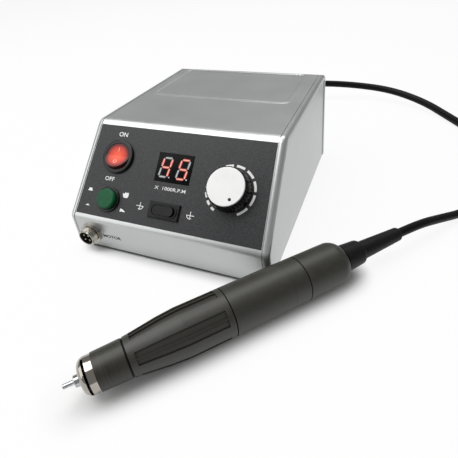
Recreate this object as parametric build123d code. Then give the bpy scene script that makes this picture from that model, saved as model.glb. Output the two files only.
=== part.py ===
from build123d import *
import math
import os

# Dental lab micromotor: a control box with a handpiece lying in front of it, its cord and the mains lead.
# Lengths are millimetres and angles degrees. While it is modelled, x = 0 is the middle of the box,
# y = 0 the front edge of its sloping panel and z = 0 the bench. At the end everything moves together,
# so that the origin lies on the bench under the middle of the box and handpiece.

# Clearances shared by all pieces
fit_gap = 0.2
running_gap = 0.05
loose_gap = 0.3
cut_over = 2.0

# Control box casing
box_width = 145.4
box_depth = 179.0
box_height = 72.0
foot_height = 2.0
knee_height = 23.0
slope_run = 50.0
front_undercut = 0.6
side_lean = 4.5
wall = 2.5
bead_radius = 3.5
bead_width = 3.8
knee_radius = 5.0
brow_radius = 8.0
rear_top_radius = 6.0
groove_width = 0.7
groove_depth = 0.5
side_recess = 0.6
ledge_end_inset = 19.7
ledge_inset = 11.0
ledge_width = 1.4
ledge_depth = 0.5

# Base, feet, pillars and screws
base_thickness = 2.0
foot_radius = 7.0
foot_neck_radius = 5.0
foot_sink = 0.8
foot_inset_x = 14.0
foot_inset_y = 13.0
pillar_radius = 4.2
pillar_side_inset = 12.7
front_pillar_y = 26.0
rear_pillar_inset = 29.0
screw_radius = 1.5
screw_head_radius = 2.8
screw_head_height = 1.4
screw_length = 9.0
vent_count = 9
vent_length = 30.0
vent_width = 2.0
vent_pitch = 5.0
vent_y = 60.0

# Rear panel and what it carries
rear_panel_thickness = 2.0
rear_panel_inset = 3.0
rear_lug_size = 8.0
rear_lug_depth = 6.0
rear_fitting_z = 24.0
strain_x = -14.0
strain_flange_radius = 8.0
strain_flange_thickness = 2.4
strain_neck_radius = 6.2
strain_root_radius = 6.4
strain_tip_radius = 4.7
strain_length = 42.0
strain_ring_count = 7
strain_ring_width = 1.3
strain_ring_depth = 0.8
fuse_jack_spacing = 26.0
fuse_body_radius = 7.0
fuse_cap_radius = 8.5
fuse_cap_height = 7.0
fuse_depth = 26.0
fuse_slot_width = 1.6
jack_side_inset = 24.7
jack_bore_radius = 3.2
jack_bush_radius = 4.5
jack_bush_rise = 5.0
jack_nut_radius = 7.0
jack_nut_height = 2.2
jack_body_width = 14.0
jack_body_depth = 22.0

# Front overlay panel
overlay_thickness = 0.8
overlay_sink = 0.6
overlay_side_margin = 4.84
overlay_top_margin = 3.5
overlay_bottom_margin = 3.1
overlay_gap = 0.1

# Power rocker switch
rocker_side_inset = 30.0
rocker_v = 44.9
rocker_bezel_radius = 11.5
rocker_bezel_rise = 1.8
rocker_bezel_round = 0.8
rocker_barrel_radius = 10.0
rocker_barrel_depth = 15.0
rocker_bore_radius = 9.15
rocker_bore_depth = 7.0
rocker_ball_radius = 8.95
rocker_pivot_height = 0.6
rocker_tilt = 10.0
rocker_ridge_height = 1.2
rocker_keel_depth = 4.5
rocker_pin_radius = 1.2
rocker_pin_reach = 9.6

# Green push button
button_side_inset = 30.1
button_v = 15.5
button_bezel_radius = 8.6
button_bezel_rise = 1.3
button_bezel_round = 0.5
button_barrel_radius = 8.1
button_barrel_depth = 15.0
button_cap_radius = 7.0
button_cap_rise = 4.0
button_dome_round = 1.4
button_shoulder_radius = 7.3
button_shoulder_height = 3.0
button_lip_depth = 3.0
button_stem_radius = 2.2
button_stem_length = 9.5

# Direction switch
switch_u = 0.0
switch_v = 14.6
switch_frame_length = 21.4
switch_frame_width = 10.6
switch_frame_rise = 1.4
switch_frame_round = 0.4
switch_lip_width = 1.0
switch_lip_rise = 0.5
switch_slot_length = 16.6
switch_slot_width = 6.6
switch_slot_depth = 4.4
switch_body_length = 18.6
switch_body_width = 9.2
switch_body_depth = 11.0
paddle_gap = 0.25
paddle_tilt = 7.0
paddle_ridge_height = 1.0
paddle_keel_depth = 2.8
paddle_pivot_depth = 0.8
paddle_pin_radius = 0.7
paddle_pin_reach = 3.9

# Two-digit display
display_u = 0.0
display_v = 42.5
display_width = 25.0
display_height = 19.0
display_sink = 0.25
digit_height = 14.2
digit_width = 7.6
digit_pitch = 12.4
digit_slant = 8.0
segment_width = 1.7
segment_gap = 0.35
segment_thickness = 0.15
point_radius = 0.9

# Speed control
knob_side_inset = 32.7
knob_v = 34.2
pot_bush_radius = 3.5
pot_bush_rise = 5.0
pot_shaft_radius = 3.0
pot_shaft_rise = 8.2
pot_flat_depth = 0.8
pot_body_radius = 8.5
pot_body_height = 9.0
pot_nut_radius = 5.6
pot_nut_height = 2.2
knob_lift = 0.7
knob_base_radius = 13.6
knob_top_radius = 12.2
knob_height = 10.0
knob_cap_radius = 11.6
knob_cap_thickness = 1.2
knob_cap_sink = 0.8
knob_cap_round = 0.5
knob_hub_radius = 5.4
knob_hollow_radius = 10.4
knob_hollow_height = 6.4
knob_flute_count = 40
knob_flute_radius = 0.55
knob_dot_radius = 0.95
knob_dot_offset = 8.2
knob_dot_angle = -60.0
knob_dot_depth = 0.3

# Boards and power parts inside the box
front_board_left_margin = 11.5
front_board_right_margin = 5.5
front_board_lower_margin = 2.2
front_board_upper_margin = 6.0
board_thickness = 1.6
main_board_core_gap = 8.0
main_board_side_inset = 18.7
main_board_front_inset = 62.0
main_board_rear_inset = 37.0
standoff_height = 6.0
standoff_radius = 3.0
standoff_inset = 5.0
transformer_x = -28.0
transformer_y = 112.0
core_length = 48.0
core_depth = 24.0
core_height = 40.0
core_limb_share = 0.25
winding_overhang = 8.0
winding_gap = 0.4
fin_count = 6
fin_thickness = 1.6
fin_pitch = 5.4
sink_base_thickness = 3.0
sink_height = 26.0
sink_length = 30.0
sink_edge_inset = 4.0
sink_front_inset = 10.0
capacitor_radius = 8.0
capacitor_height = 25.0
capacitor_edge_inset = 12.0
capacitor_front_inset = 16.0
capacitor_rear_inset = 20.0
capacitor_pitch = 20.0

# Motor socket on the lower front
socket_side_inset = 16.7
socket_height = 10.8
socket_flange_radius = 7.6
socket_flange_thickness = 1.6
socket_barrel_radius = 6.0
socket_bore_radius = 5.0
socket_rise = 6.4
socket_thread_depth = 0.35
socket_thread_pitch = 1.0
socket_thread_count = 4
socket_insulator_sink = 3.4
socket_inner_length = 9.0
socket_pin_radius = 0.6
socket_pin_circle = 2.5
socket_pin_count = 4
socket_pin_rise = 2.6

# Handpiece: where it lies, then its stations along the axis from the tip of the blank pin
handpiece_corner_gap = 0.67
handpiece_tip_before_corner = 118.33
handpiece_heading = 48.84
handpiece_radius = 13.4
blank_length = 15.0
blank_radius = 1.175
blank_chamfer = 0.3
collet_face_s = 5.2
collet_collar_radius = 2.85
collet_collar_length = 2.6
collet_radius = 2.3
collet_end_s = 32.0
collet_slit_count = 3
collet_slit_width = 0.5
collet_slit_end_s = 22.0
nose_face_s = 7.8
nose_face_radius = 4.6
nose_round = 4.4
nose_radius = 9.25
nose_bore_radius = 3.4
nose_slot_s = 10.6
nose_slot_width = 1.2
nose_slot_depth = 2.2
nose_bridge_angle = 30.0
nose_bridge_turn = 140.0
front_sleeve_s = 15.1
front_sleeve_radius = 9.45
groove_1_s = 30.0
sleeve_groove = 0.6
sleeve_groove_depth = 0.7
grip_front_radius = 10.0
grip_stations = (39.0, 48.0, 58.0)
grip_radii = (11.15, 12.4, 13.25)
groove_2_s = 82.7
flute_count = 5
flute_angle = 38.0
flute_turn = 51.0
flute_depth = 0.9
flute_end_margin = 3.2
flute_rib_width = 0.7
step_s = 118.5
step_drop = 0.12
groove_3_s = 128.4
rear_sleeve_end_s = 159.5
rear_sleeve_radius = 13.1
rear_round = 8.0
collar_end_s = 173.4
collar_radius = 8.4
collar_end_radius = 7.5
collar_round = 2.0
boot_end_s = 205.0
boot_radius = 5.8
boot_end_radius = 4.4
boot_round = 1.1

# Handpiece: the works inside
housing_front_s = 12.2
housing_front_radius = 7.6
housing_mid_radius = 8.4
housing_rear_radius = 11.4
housing_bore_radius = 6.5
housing_rear_bore_radius = 10.2
housing_end_s = 150.0
housing_wall = 1.0
bearing_width = 5.0
bearing_race = 1.0
front_bearing_stations = (17.0, 23.5)
rear_bearing_s = 134.0
spindle_radius = 3.0
spindle_start_s = 13.5
spindle_end_s = 140.5
magnet_radius = 5.6
magnet_length = 32.0
stator_bore_radius = 6.1
winding_length = 5.0
winding_bore_radius = 6.8
grip_hollow_radius = 10.8
release_ring_s = 62.0
release_ring_length = 6.0
release_travel = 1.6
chuck_spring_end_s = 79.0
chuck_spring_thickness = 0.8

# Cords: real lengths, diameters, and routes chosen by hand
mains_cord_diameter = 7.2
mains_route = [
    (-14.0, 218.0, 24.0), (-14.0, 259.0, 24.0), (3.6, 302.0, 21.0), (36.5, 332.2, 18.5), (79.0, 345.6, 14.5),
    (123.2, 339.8, 9.5), (158.8, 316.0, 6.0), (184.0, 288.0, 4.4), (203.4, 258.0, 3.7), (203.4, 232.2, 3.7),
]
mains_coil_centre = (252.0, 225.0)
mains_coil_start = 180.0
mains_coil_turns = 2
mains_coil_spin = 1
mains_coil_pitch = 8.0

motor_cord_diameter = 6.0
motor_route = [
    (138.58, 57.48, 13.4), (150.92, 71.6, 13.4), (165.0, 88.2, 8.9), (180.9, 106.8, 3.4), (197.21, 124.29, 3.1),
    (213.01, 142.36, 3.1),
]
motor_coil_centre = (250.0, 118.0)
motor_coil_start = 138.84
motor_coil_turns = 3
motor_coil_spin = -1
motor_coil_pitch = 6.7
coil_layer_gap = 0.5
bench_gap = 0.1

# Plugs
tail_length = 26.0
motor_plug_tail_length = 22.0
motor_plug_radius = 6.2
motor_plug_length = 17.0
motor_tongue_length = 9.0
motor_plug_round = 1.0
motor_plug_neck_radius = 3.9
motor_plug_neck_length = 9.0
motor_nut_radius = 7.5
motor_nut_length = 15.0
motor_nut_overhang = 0.6
motor_nut_knurl_count = 24
motor_nut_knurl_radius = 0.5
motor_insert_radius = 4.2
motor_insert_length = 8.0
motor_hole_radius = 0.65
motor_hole_depth = 6.0
mains_plug_length = 40.0
mains_plug_width = 32.0
mains_plug_thickness = 26.0
mains_plug_tail_width = 16.0
mains_plug_tail_thickness = 14.0
mains_plug_round = 3.0
mains_plug_nose_length = 10.0
blade_length = 17.5
blade_width = 6.3
blade_thickness = 1.5
blade_pitch = 12.7
earth_pin_radius = 2.4
earth_pin_length = 21.0
earth_pin_offset = 11.9
blade_centre_offset = 4.0


# Worked out from the sizes above
slope_angle = math.degrees(math.atan2(box_height - knee_height, slope_run))
slope_length = math.hypot(slope_run, box_height - knee_height)
lean_slope = math.tan(math.radians(side_lean))
base_top = foot_height + base_thickness
panel_face = overlay_thickness - overlay_sink
rear_face_y = box_depth - rear_panel_inset
handpiece_axis_z = handpiece_radius
pillar_x = box_width / 2 - pillar_side_inset
rear_pillar_y = box_depth - rear_pillar_inset
jack_x = box_width / 2 - jack_side_inset
fuse_x = jack_x - fuse_jack_spacing
rocker_u = rocker_side_inset - box_width / 2
button_u = button_side_inset - box_width / 2
knob_u = box_width / 2 - knob_side_inset
socket_x = socket_side_inset - box_width / 2
main_board_left = transformer_x + core_length / 2 + main_board_core_gap
main_board_right = box_width / 2 - main_board_side_inset
main_board_rear = box_depth - main_board_rear_inset
grip_hollow_start = grip_stations[1]
motor_bay_start = groove_2_s + sleeve_groove / 2 + 2 * housing_wall
magnet_start = motor_bay_start + winding_length
magnet_end = magnet_start + magnet_length


def rod(radius, low, high):
    """A cylinder about Z between two heights."""
    return Pos(0, 0, low) * Cylinder(radius, high - low, align=(Align.CENTER, Align.CENTER, Align.MIN))


def ring(outer, inner, low, high):
    """A straight tube about Z."""
    return rod(outer, low, high) - rod(inner, low - cut_over, high + cut_over)


def block(low, high):
    """A box from its lowest to its highest corner."""
    size = [high[i] - low[i] for i in range(3)]
    return Pos(*low) * Box(*size, align=(Align.MIN, Align.MIN, Align.MIN))


def turned(points):
    """A solid of revolution about Z, from (radius, height) corners."""
    outline = make_face(Polyline(*[(r, 0, z) for r, z in points], close=True))
    return revolve(outline, Axis.Z)


def around(count, start=0.0):
    """Turns about Z that share a circle evenly."""
    return [Rot(0, 0, start + 360 * i / count) for i in range(count)]


def half_width(z):
    """Half the box's width at a height above the bench."""
    return box_width / 2 - lean_slope * (z - foot_height)


def drawn_in(corners, insets):
    """An anticlockwise outline whose edges have each moved inwards by their own inset."""
    moved = []
    count = len(corners)
    for i in range(count):
        before, here, after = corners[i - 1], corners[i], corners[(i + 1) % count]
        first = (here[0] - before[0], here[1] - before[1])
        second = (after[0] - here[0], after[1] - here[1])
        size_1, size_2 = math.hypot(*first), math.hypot(*second)
        n1 = (-first[1] / size_1, first[0] / size_1)
        n2 = (-second[1] / size_2, second[0] / size_2)
        c1 = n1[0] * here[0] + n1[1] * here[1] + insets[i - 1]
        c2 = n2[0] * here[0] + n2[1] * here[1] + insets[i]
        det = n1[0] * n2[1] - n1[1] * n2[0]
        moved.append(((c1 * n2[1] - c2 * n1[1]) / det, (n1[0] * c2 - n2[0] * c1) / det))
    return moved


side_corners = [
    (front_undercut, foot_height),
    (box_depth, foot_height),
    (box_depth, foot_height + box_height),
    (slope_run, foot_height + box_height),
    (0, foot_height + knee_height),
]


def side_slab(bottom, rear, top, slope, front, rounded=("rear top", "brow", "knee")):
    """The box's side outline, drawn in edge by edge, run across the whole width."""
    corners = drawn_in(side_corners, [bottom, rear, top, slope, front])
    outline = Polyline(*[(-box_width / 2, y, z) for y, z in corners], close=True)
    slab = extrude(make_face(outline), box_width, dir=(1, 0, 0))
    rounds = {
        "rear top": (corners[2], rear_top_radius - top),
        "brow": (corners[3], brow_radius - slope),
        "knee": (corners[4], knee_radius - front),
    }
    for (y, z), radius in [rounds[name] for name in rounded]:
        near = [edge for edge in slab.edges().filter_by(Axis.X)
                if math.hypot(edge.center().Y - y, edge.center().Z - z) < running_gap]
        slab = fillet(near, radius)
    return slab


def lean_prism(inset):
    """The space between the two leaning sides, each drawn in by the inset."""
    shift = inset / math.cos(math.radians(side_lean))
    low, high = foot_height - cut_over, foot_height + box_height + cut_over
    corners = [
        (-half_width(low) + shift, low), (half_width(low) - shift, low),
        (half_width(high) - shift, high), (-half_width(high) + shift, high),
    ]
    start = -cut_over
    face = make_face(Polyline(*[(x, start, z) for x, z in corners], close=True))
    return extrude(face, box_depth + 2 * cut_over, dir=(0, 1, 0))


panel = Plane(
    origin=(0, 0, foot_height + knee_height),
    x_dir=(1, 0, 0),
    z_dir=(0, -math.sin(math.radians(slope_angle)), math.cos(math.radians(slope_angle))),
)


def on_panel(u, v, h=0):
    """A place on the sloping panel: u to the right, v up the slope, h out of it."""
    return panel.location * Pos(u, v, h)


def panel_outline(gap, low, high):
    """The overlay's outline on the slope, drawn in by a gap, between two heights."""
    corners = []
    for v in (overlay_bottom_margin + gap, slope_length - overlay_top_margin - gap):
        z = foot_height + knee_height + v * math.sin(math.radians(slope_angle))
        corners.append((half_width(z) - overlay_side_margin - gap, v))
    (u0, v0), (u1, v1) = corners
    face = make_face(Polyline((-u0, v0), (u0, v0), (u1, v1), (-u1, v1), close=True))
    return panel.location * Pos(0, 0, low) * extrude(face, high - low)


def stadium(length, width, low, high):
    """A prism with round ends along X."""
    return Pos(0, 0, low) * extrude(SlotOverall(length, width), high - low)


def screw_places():
    """The four case screws, and the pillars that take them."""
    return [(x, y) for x in (-pillar_x, pillar_x) for y in (front_pillar_y, rear_pillar_y)]


def rear_lug_places():
    """The four lugs that the rear panel is screwed to, as centres in X and Z."""
    high = foot_height + box_height - wall - rear_lug_size / 2
    low = base_top + fit_gap + rear_lug_size / 2
    places = []
    for z in (low, high):
        x = half_width(z) - wall - rear_lug_size / 2
        places += [(-x, z), (x, z)]
    return places


def make_top_cover():
    top = foot_height + box_height
    body = side_slab(0, -2 * rear_top_radius, 0, 0, 0, ("brow", "knee")) & lean_prism(0)
    side_edges = []
    for edge in body.edges():
        middle = edge.position_at(0.5)
        on_side = abs(abs(middle.X) - half_width(middle.Z)) < running_gap
        if on_side and middle.Z > foot_height + running_gap and middle.Y < box_depth:
            side_edges.append(edge)
    body = fillet(side_edges, bead_radius)
    body = body & side_slab(0, 0, 0, 0, 0, ("rear top",))

    rim = side_slab(0, 0, 0, 0, 0) - side_slab(0, 0, groove_depth, groove_depth, groove_depth)
    body -= rim & (lean_prism(bead_width) - lean_prism(bead_width + groove_width))
    panel_of_side = side_slab(-cut_over, bead_width, bead_width, bead_width, bead_width)
    body -= panel_of_side - lean_prism(side_recess)

    cavity = side_slab(-cut_over, -cut_over, wall, wall, wall, ()) & lean_prism(wall)
    body -= cavity

    inner = side_slab(0, 0, wall / 2, wall / 2, wall / 2, ()) & lean_prism(wall / 2)
    for x, y in screw_places():
        pillar = Pos(x, y, 0) * rod(pillar_radius, base_top, top)
        body += pillar & inner
        body -= Pos(x, y, 0) * rod(screw_radius + running_gap, base_top - cut_over, base_top + screw_length)
    lug_front = rear_face_y - rear_panel_thickness - fit_gap - rear_lug_depth
    for x, z in rear_lug_places():
        half = rear_lug_size / 2 + wall / 2
        lug = block((x - half, lug_front, z - half), (x + half, lug_front + rear_lug_depth, z + half))
        body += lug & inner & block((-box_width, 0, base_top + fit_gap), (box_width, box_depth, top))
        hole = rod(screw_radius + running_gap, -cut_over, rear_lug_depth + cut_over)
        body -= Pos(x, lug_front, z) * Rot(-90, 0, 0) * hole

    body -= panel_outline(0, -overlay_sink, cut_over)
    body -= on_panel(rocker_u, rocker_v) * rod(rocker_barrel_radius + fit_gap, -2 * wall, cut_over)
    body -= on_panel(button_u, button_v) * rod(button_barrel_radius + fit_gap, -2 * wall, cut_over)
    body -= on_panel(knob_u, knob_v) * rod(pot_bush_radius + fit_gap, -2 * wall, cut_over)
    body -= panel_window(switch_u, switch_v, switch_body_length, switch_body_width, fit_gap)
    body -= panel_window(display_u, display_v, display_width, display_height, fit_gap)
    body -= socket_frame * rod(socket_barrel_radius + fit_gap, -2 * wall, cut_over)

    line_y = box_depth - ledge_inset
    half = box_width / 2 - ledge_end_inset
    body -= block((-half, line_y, top - ledge_depth), (half, line_y + ledge_width, top + cut_over))
    return body


def panel_window(u, v, length, width, gap):
    """A rectangular cut through the sloping wall."""
    return on_panel(u, v) * block((-length / 2 - gap, -width / 2 - gap, -2 * wall),
                                  (length / 2 + gap, width / 2 + gap, cut_over))


socket_frame = Location((socket_x, 0, foot_height + socket_height), (90, 0, 0))


def make_base_plate():
    inner = side_slab(0, 0, wall + fit_gap, wall + fit_gap, wall + fit_gap, ())
    inner = inner & lean_prism(wall + fit_gap)
    plate = inner & block((-box_width, 0, foot_height), (box_width, rear_face_y, base_top))
    for x, y in screw_places():
        plate -= Pos(x, y, 0) * rod(screw_radius + fit_gap, foot_height - cut_over, base_top + cut_over)
        plate -= Pos(x, y, 0) * rod(screw_head_radius + fit_gap, foot_height - cut_over, foot_height + screw_head_height)
    for i in range(vent_count):
        x = (i - (vent_count - 1) / 2) * vent_pitch
        plate -= block((x - vent_width / 2, vent_y, foot_height - cut_over),
                       (x + vent_width / 2, vent_y + vent_length, base_top + cut_over))
    for x, y in foot_places():
        plate -= Pos(x, y, 0) * rod(foot_neck_radius, foot_height - cut_over, foot_height + foot_sink)
    return plate


def foot_places():
    """The four feet, as centres in X and Y."""
    x = box_width / 2 - foot_inset_x
    return [(side * x, y) for side in (-1, 1) for y in (foot_inset_y, box_depth - foot_inset_y)]


def make_feet():
    foot = rod(foot_radius, 0, foot_height)
    foot += rod(foot_neck_radius - running_gap, 0, foot_height + foot_sink - running_gap)
    return [Pos(x, y, 0) * foot for x, y in foot_places()]


def make_screw():
    """A pan screw along Z with its head underneath and a cross recess."""
    head = rod(screw_head_radius, 0, screw_head_height)
    arm, half = screw_head_radius * 0.7, screw_head_height / 4
    recess = block((-arm, -half, -cut_over), (arm, half, screw_head_height / 2))
    screw = head - recess - Rot(0, 0, 90) * recess
    return screw + rod(screw_radius - running_gap, screw_head_height, screw_length)


def make_screws():
    """Four screws from below into the pillars, and four from behind into the lugs."""
    screw = make_screw()
    below = [Pos(x, y, foot_height) * screw for x, y in screw_places()]
    behind = [rear_frame(x, z) * Pos(0, 0, screw_head_height) * Rot(180, 0, 0) * screw
              for x, z in rear_lug_places()]
    return below + behind


def make_rear_panel():
    inner = side_slab(0, 0, wall + fit_gap, 0, 0, ()) & lean_prism(wall + fit_gap)
    plate = inner & block((-box_width, rear_face_y - rear_panel_thickness, base_top + fit_gap),
                          (box_width, rear_face_y, foot_height + box_height))
    for x, z in rear_lug_places():
        plate -= rear_frame(x, z) * rod(screw_radius + fit_gap, -rear_panel_thickness - cut_over, cut_over)
    holes = [(strain_x, strain_neck_radius), (fuse_x, fuse_body_radius), (jack_x, jack_bush_radius)]
    for x, radius in holes:
        plate -= rear_frame(x, rear_fitting_z) * rod(radius + fit_gap, -rear_panel_thickness - cut_over, cut_over)
    return plate


def rear_frame(x, z):
    """A place on the rear panel's outer face, with Z pointing out of it."""
    return Location((x, rear_face_y, z), (-90, 0, 0))


def make_strain_relief():
    neck_end = rear_panel_thickness + loose_gap
    flange = strain_flange_thickness
    outline = [
        (0, -neck_end - flange), (strain_flange_radius - fit_gap, -neck_end - flange),
        (strain_flange_radius - fit_gap, -neck_end), (strain_neck_radius, -neck_end), (strain_neck_radius, 0),
        (strain_flange_radius, 0), (strain_flange_radius, flange), (strain_root_radius, flange),
    ]
    step = (strain_length - flange) / (strain_ring_count + 1)
    taper = (strain_root_radius - strain_tip_radius) / (strain_length - flange)
    for i in range(strain_ring_count):
        z = flange + (i + 0.5) * step
        radius = strain_root_radius - taper * (z - flange)
        outline += [(radius, z), (radius - strain_ring_depth, z)]
        outline += [(radius - strain_ring_depth, z + strain_ring_width), (radius, z + strain_ring_width)]
    outline += [(strain_tip_radius, strain_length), (0, strain_length)]
    return rear_frame(strain_x, rear_fitting_z) * turned(outline)


def make_fuse_holder():
    flange = fuse_cap_height / 3
    body = rod(fuse_body_radius, -fuse_depth, 0) + rod(fuse_cap_radius, 0, flange)
    body += ring(fuse_cap_radius, fuse_body_radius, -rear_panel_thickness - flange, -rear_panel_thickness)
    cap = rod(fuse_cap_radius - 2 * loose_gap, flange, fuse_cap_height)
    cap = chamfer(cap.edges().group_by(Axis.Z)[-1], fuse_slot_width / 2)
    cap -= block((-fuse_cap_radius, -fuse_slot_width / 2, fuse_cap_height - fuse_slot_width),
                 (fuse_cap_radius, fuse_slot_width / 2, fuse_cap_height + cut_over))
    return rear_frame(fuse_x, rear_fitting_z) * (body + cap)


def make_pedal_jack():
    half = jack_body_width / 2
    body = block((-half, -half, -jack_body_depth), (half, half, -rear_panel_thickness))
    body += rod(jack_bush_radius, -rear_panel_thickness - cut_over, jack_bush_rise)
    body += ring(jack_nut_radius, jack_bush_radius, 0, jack_nut_height)
    body -= rod(jack_bore_radius, -jack_body_depth + 2 * cut_over, jack_bush_rise + cut_over)
    return rear_frame(jack_x, rear_fitting_z) * body


def make_overlay():
    plate = panel_outline(overlay_gap, -overlay_sink, panel_face)
    plate -= on_panel(rocker_u, rocker_v) * rod(rocker_barrel_radius + fit_gap, -cut_over, cut_over)
    plate -= on_panel(button_u, button_v) * rod(button_barrel_radius + fit_gap, -cut_over, cut_over)
    plate -= on_panel(knob_u, knob_v) * rod(pot_bush_radius + fit_gap, -cut_over, cut_over)
    plate -= panel_window(switch_u, switch_v, switch_body_length, switch_body_width, fit_gap)
    plate -= panel_window(display_u, display_v, display_width, display_height, overlay_gap)
    return plate


def make_rocker_housing():
    top = panel_face + rocker_bezel_rise
    flange = rod(rocker_bezel_radius, panel_face, top)
    flange = fillet(flange.edges().group_by(Axis.Z)[-1], rocker_bezel_round)
    body = flange + rod(rocker_barrel_radius, -rocker_barrel_depth, panel_face)
    body -= rod(rocker_bore_radius, -rocker_bore_depth, top + cut_over)
    pin_hole = rod(rocker_pin_radius + running_gap, -rocker_pin_reach - fit_gap, rocker_pin_reach + fit_gap)
    body -= Pos(0, 0, rocker_pivot_height) * Rot(0, 90, 0) * pin_hole
    return on_panel(rocker_u, rocker_v) * body


def make_rocker():
    edge_height = rocker_ridge_height + rocker_ball_radius * math.tan(math.radians(rocker_tilt))
    r = rocker_ball_radius
    outline = [(-r, -rocker_keel_depth), (r, -rocker_keel_depth), (r, edge_height), (0, rocker_ridge_height),
               (-r, edge_height)]
    face = make_face(Polyline(*[(-r, y, z) for y, z in outline], close=True))
    body = extrude(face, 2 * r, dir=(1, 0, 0)) & Sphere(r)
    body += Rot(0, 90, 0) * rod(rocker_pin_radius, -rocker_pin_reach, rocker_pin_reach)
    return on_panel(rocker_u, rocker_v, rocker_pivot_height) * Rot(-rocker_tilt, 0, 0) * body


def make_button_bezel():
    top = panel_face + button_bezel_rise
    flange = rod(button_bezel_radius, panel_face, top)
    flange = fillet(flange.edges().group_by(Axis.Z)[-1], button_bezel_round)
    body = flange + rod(button_barrel_radius, -button_barrel_depth, panel_face)
    body -= rod(button_cap_radius + fit_gap, -button_lip_depth, top + cut_over)
    body -= rod(button_shoulder_radius + fit_gap, -button_barrel_depth + 2 * fit_gap, -button_lip_depth)
    body -= rod(button_stem_radius + fit_gap, -button_barrel_depth - cut_over, 0)
    return on_panel(button_u, button_v) * body


def make_button_cap():
    top = panel_face + button_cap_rise
    cap = rod(button_cap_radius, -button_lip_depth - fit_gap, top)
    cap = fillet(cap.edges().group_by(Axis.Z)[-1], button_dome_round)
    low = -button_lip_depth - fit_gap - button_shoulder_height
    cap += rod(button_shoulder_radius, low, -button_lip_depth - fit_gap)
    cap += rod(button_stem_radius, low - button_stem_length, low)
    return on_panel(button_u, button_v) * cap


def make_switch_frame():
    half_length, half_width_here = switch_frame_length / 2, switch_frame_width / 2
    top = panel_face + switch_frame_rise
    frame = block((-half_length, -half_width_here, panel_face), (half_length, half_width_here, top))
    frame = fillet(frame.edges().group_by(Axis.Z)[-1], switch_frame_round)
    lip_top = top + switch_lip_rise
    frame += stadium(switch_slot_length + 2 * switch_lip_width, switch_slot_width + 2 * switch_lip_width,
                     panel_face, lip_top)
    frame += block((-switch_body_length / 2, -switch_body_width / 2, -switch_body_depth),
                   (switch_body_length / 2, switch_body_width / 2, panel_face))
    frame -= stadium(switch_slot_length, switch_slot_width, lip_top - switch_slot_depth, lip_top + cut_over)
    pin_hole = rod(paddle_pin_radius + running_gap, -paddle_pin_reach - fit_gap, paddle_pin_reach + fit_gap)
    frame -= Pos(0, 0, top - paddle_pivot_depth) * Rot(90, 0, 0) * pin_hole
    return on_panel(switch_u, switch_v) * frame


def make_direction_paddle():
    length, width = switch_slot_length - 4 * paddle_gap, switch_slot_width - 2 * paddle_gap
    half = length / 2
    rise = half * math.tan(math.radians(paddle_tilt))
    outline = [(-half, rise - paddle_keel_depth), (0, -paddle_keel_depth), (half, rise - paddle_keel_depth),
               (half, paddle_ridge_height + rise), (0, paddle_ridge_height), (-half, paddle_ridge_height + rise)]
    face = make_face(Polyline(*[(x, -width / 2, z) for x, z in outline], close=True))
    body = extrude(face, width, dir=(0, 1, 0)) & stadium(length, width, -length, length)
    body += Rot(90, 0, 0) * rod(paddle_pin_radius, -paddle_pin_reach, paddle_pin_reach)
    pivot = panel_face + switch_frame_rise - paddle_pivot_depth
    return on_panel(switch_u, switch_v, pivot) * Rot(0, -paddle_tilt, 0) * body


def front_board_top():
    """Height of the front board's upper face, where the display and speed control stand on it."""
    return -2 * wall - pot_body_height


def make_display_module():
    half_w, half_h = display_width / 2, display_height / 2
    module = block((-half_w, -half_h, front_board_top()), (half_w, half_h, panel_face - display_sink))
    return on_panel(display_u, display_v) * module


def segment_bars():
    """The seven bars of one digit, each as centre, length and whether it stands upright."""
    w, h = digit_width - segment_width, digit_height - segment_width
    across, up = w - 2 * segment_gap, h / 2 - 2 * segment_gap
    return {
        "a": ((0, h / 2), across, False), "b": ((w / 2, h / 4), up, True), "c": ((w / 2, -h / 4), up, True),
        "d": ((0, -h / 2), across, False), "e": ((-w / 2, -h / 4), up, True), "f": ((-w / 2, h / 4), up, True),
        "g": ((0, 0), across, False),
    }


lit_bars = ("bcfg", "acdfg")


def make_segments(lit):
    """The bars of both digits that are lit, or those that aren't."""
    shear = math.tan(math.radians(digit_slant))
    face_height = panel_face - display_sink
    solids = []
    for digit, on in enumerate(lit_bars):
        centre = (digit - 0.5) * digit_pitch
        for name, ((x, y), length, upright) in segment_bars().items():
            if (name in on) != lit:
                continue
            half, point = length / 2, segment_width / 2
            corners = [(-half, 0), (-half + point, point), (half - point, point), (half, 0),
                       (half - point, -point), (-half + point, -point)]
            if upright:
                corners = [(-b, a) for a, b in corners]
            placed = [(centre + x + a + shear * (y + b), y + b) for a, b in corners]
            bar = extrude(make_face(Polyline(*placed, close=True)), segment_thickness)
            solids.append(on_panel(display_u, display_v, face_height) * bar)
        if lit:
            dot_x = centre + digit_width / 2 + point_radius - shear * digit_height / 2
            dot_y = -digit_height / 2 + point_radius
            dot = Pos(dot_x, dot_y, 0) * rod(point_radius, 0, segment_thickness)
            solids.append(on_panel(display_u, display_v, face_height) * dot)
    return solids


def make_pot_body():
    top = panel_face + pot_bush_rise
    body = rod(pot_body_radius, front_board_top(), -2 * wall)
    body += rod(pot_bush_radius, -2 * wall, top)
    body -= rod(pot_shaft_radius + running_gap, front_board_top() + cut_over, top + cut_over)
    return on_panel(knob_u, knob_v) * body


def make_pot_nut():
    low = panel_face
    nut = Pos(0, 0, low) * extrude(RegularPolygon(pot_nut_radius, 6), pot_nut_height)
    nut -= rod(pot_bush_radius + running_gap, low - cut_over, low + pot_nut_height + cut_over)
    return on_panel(knob_u, knob_v) * nut


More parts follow.
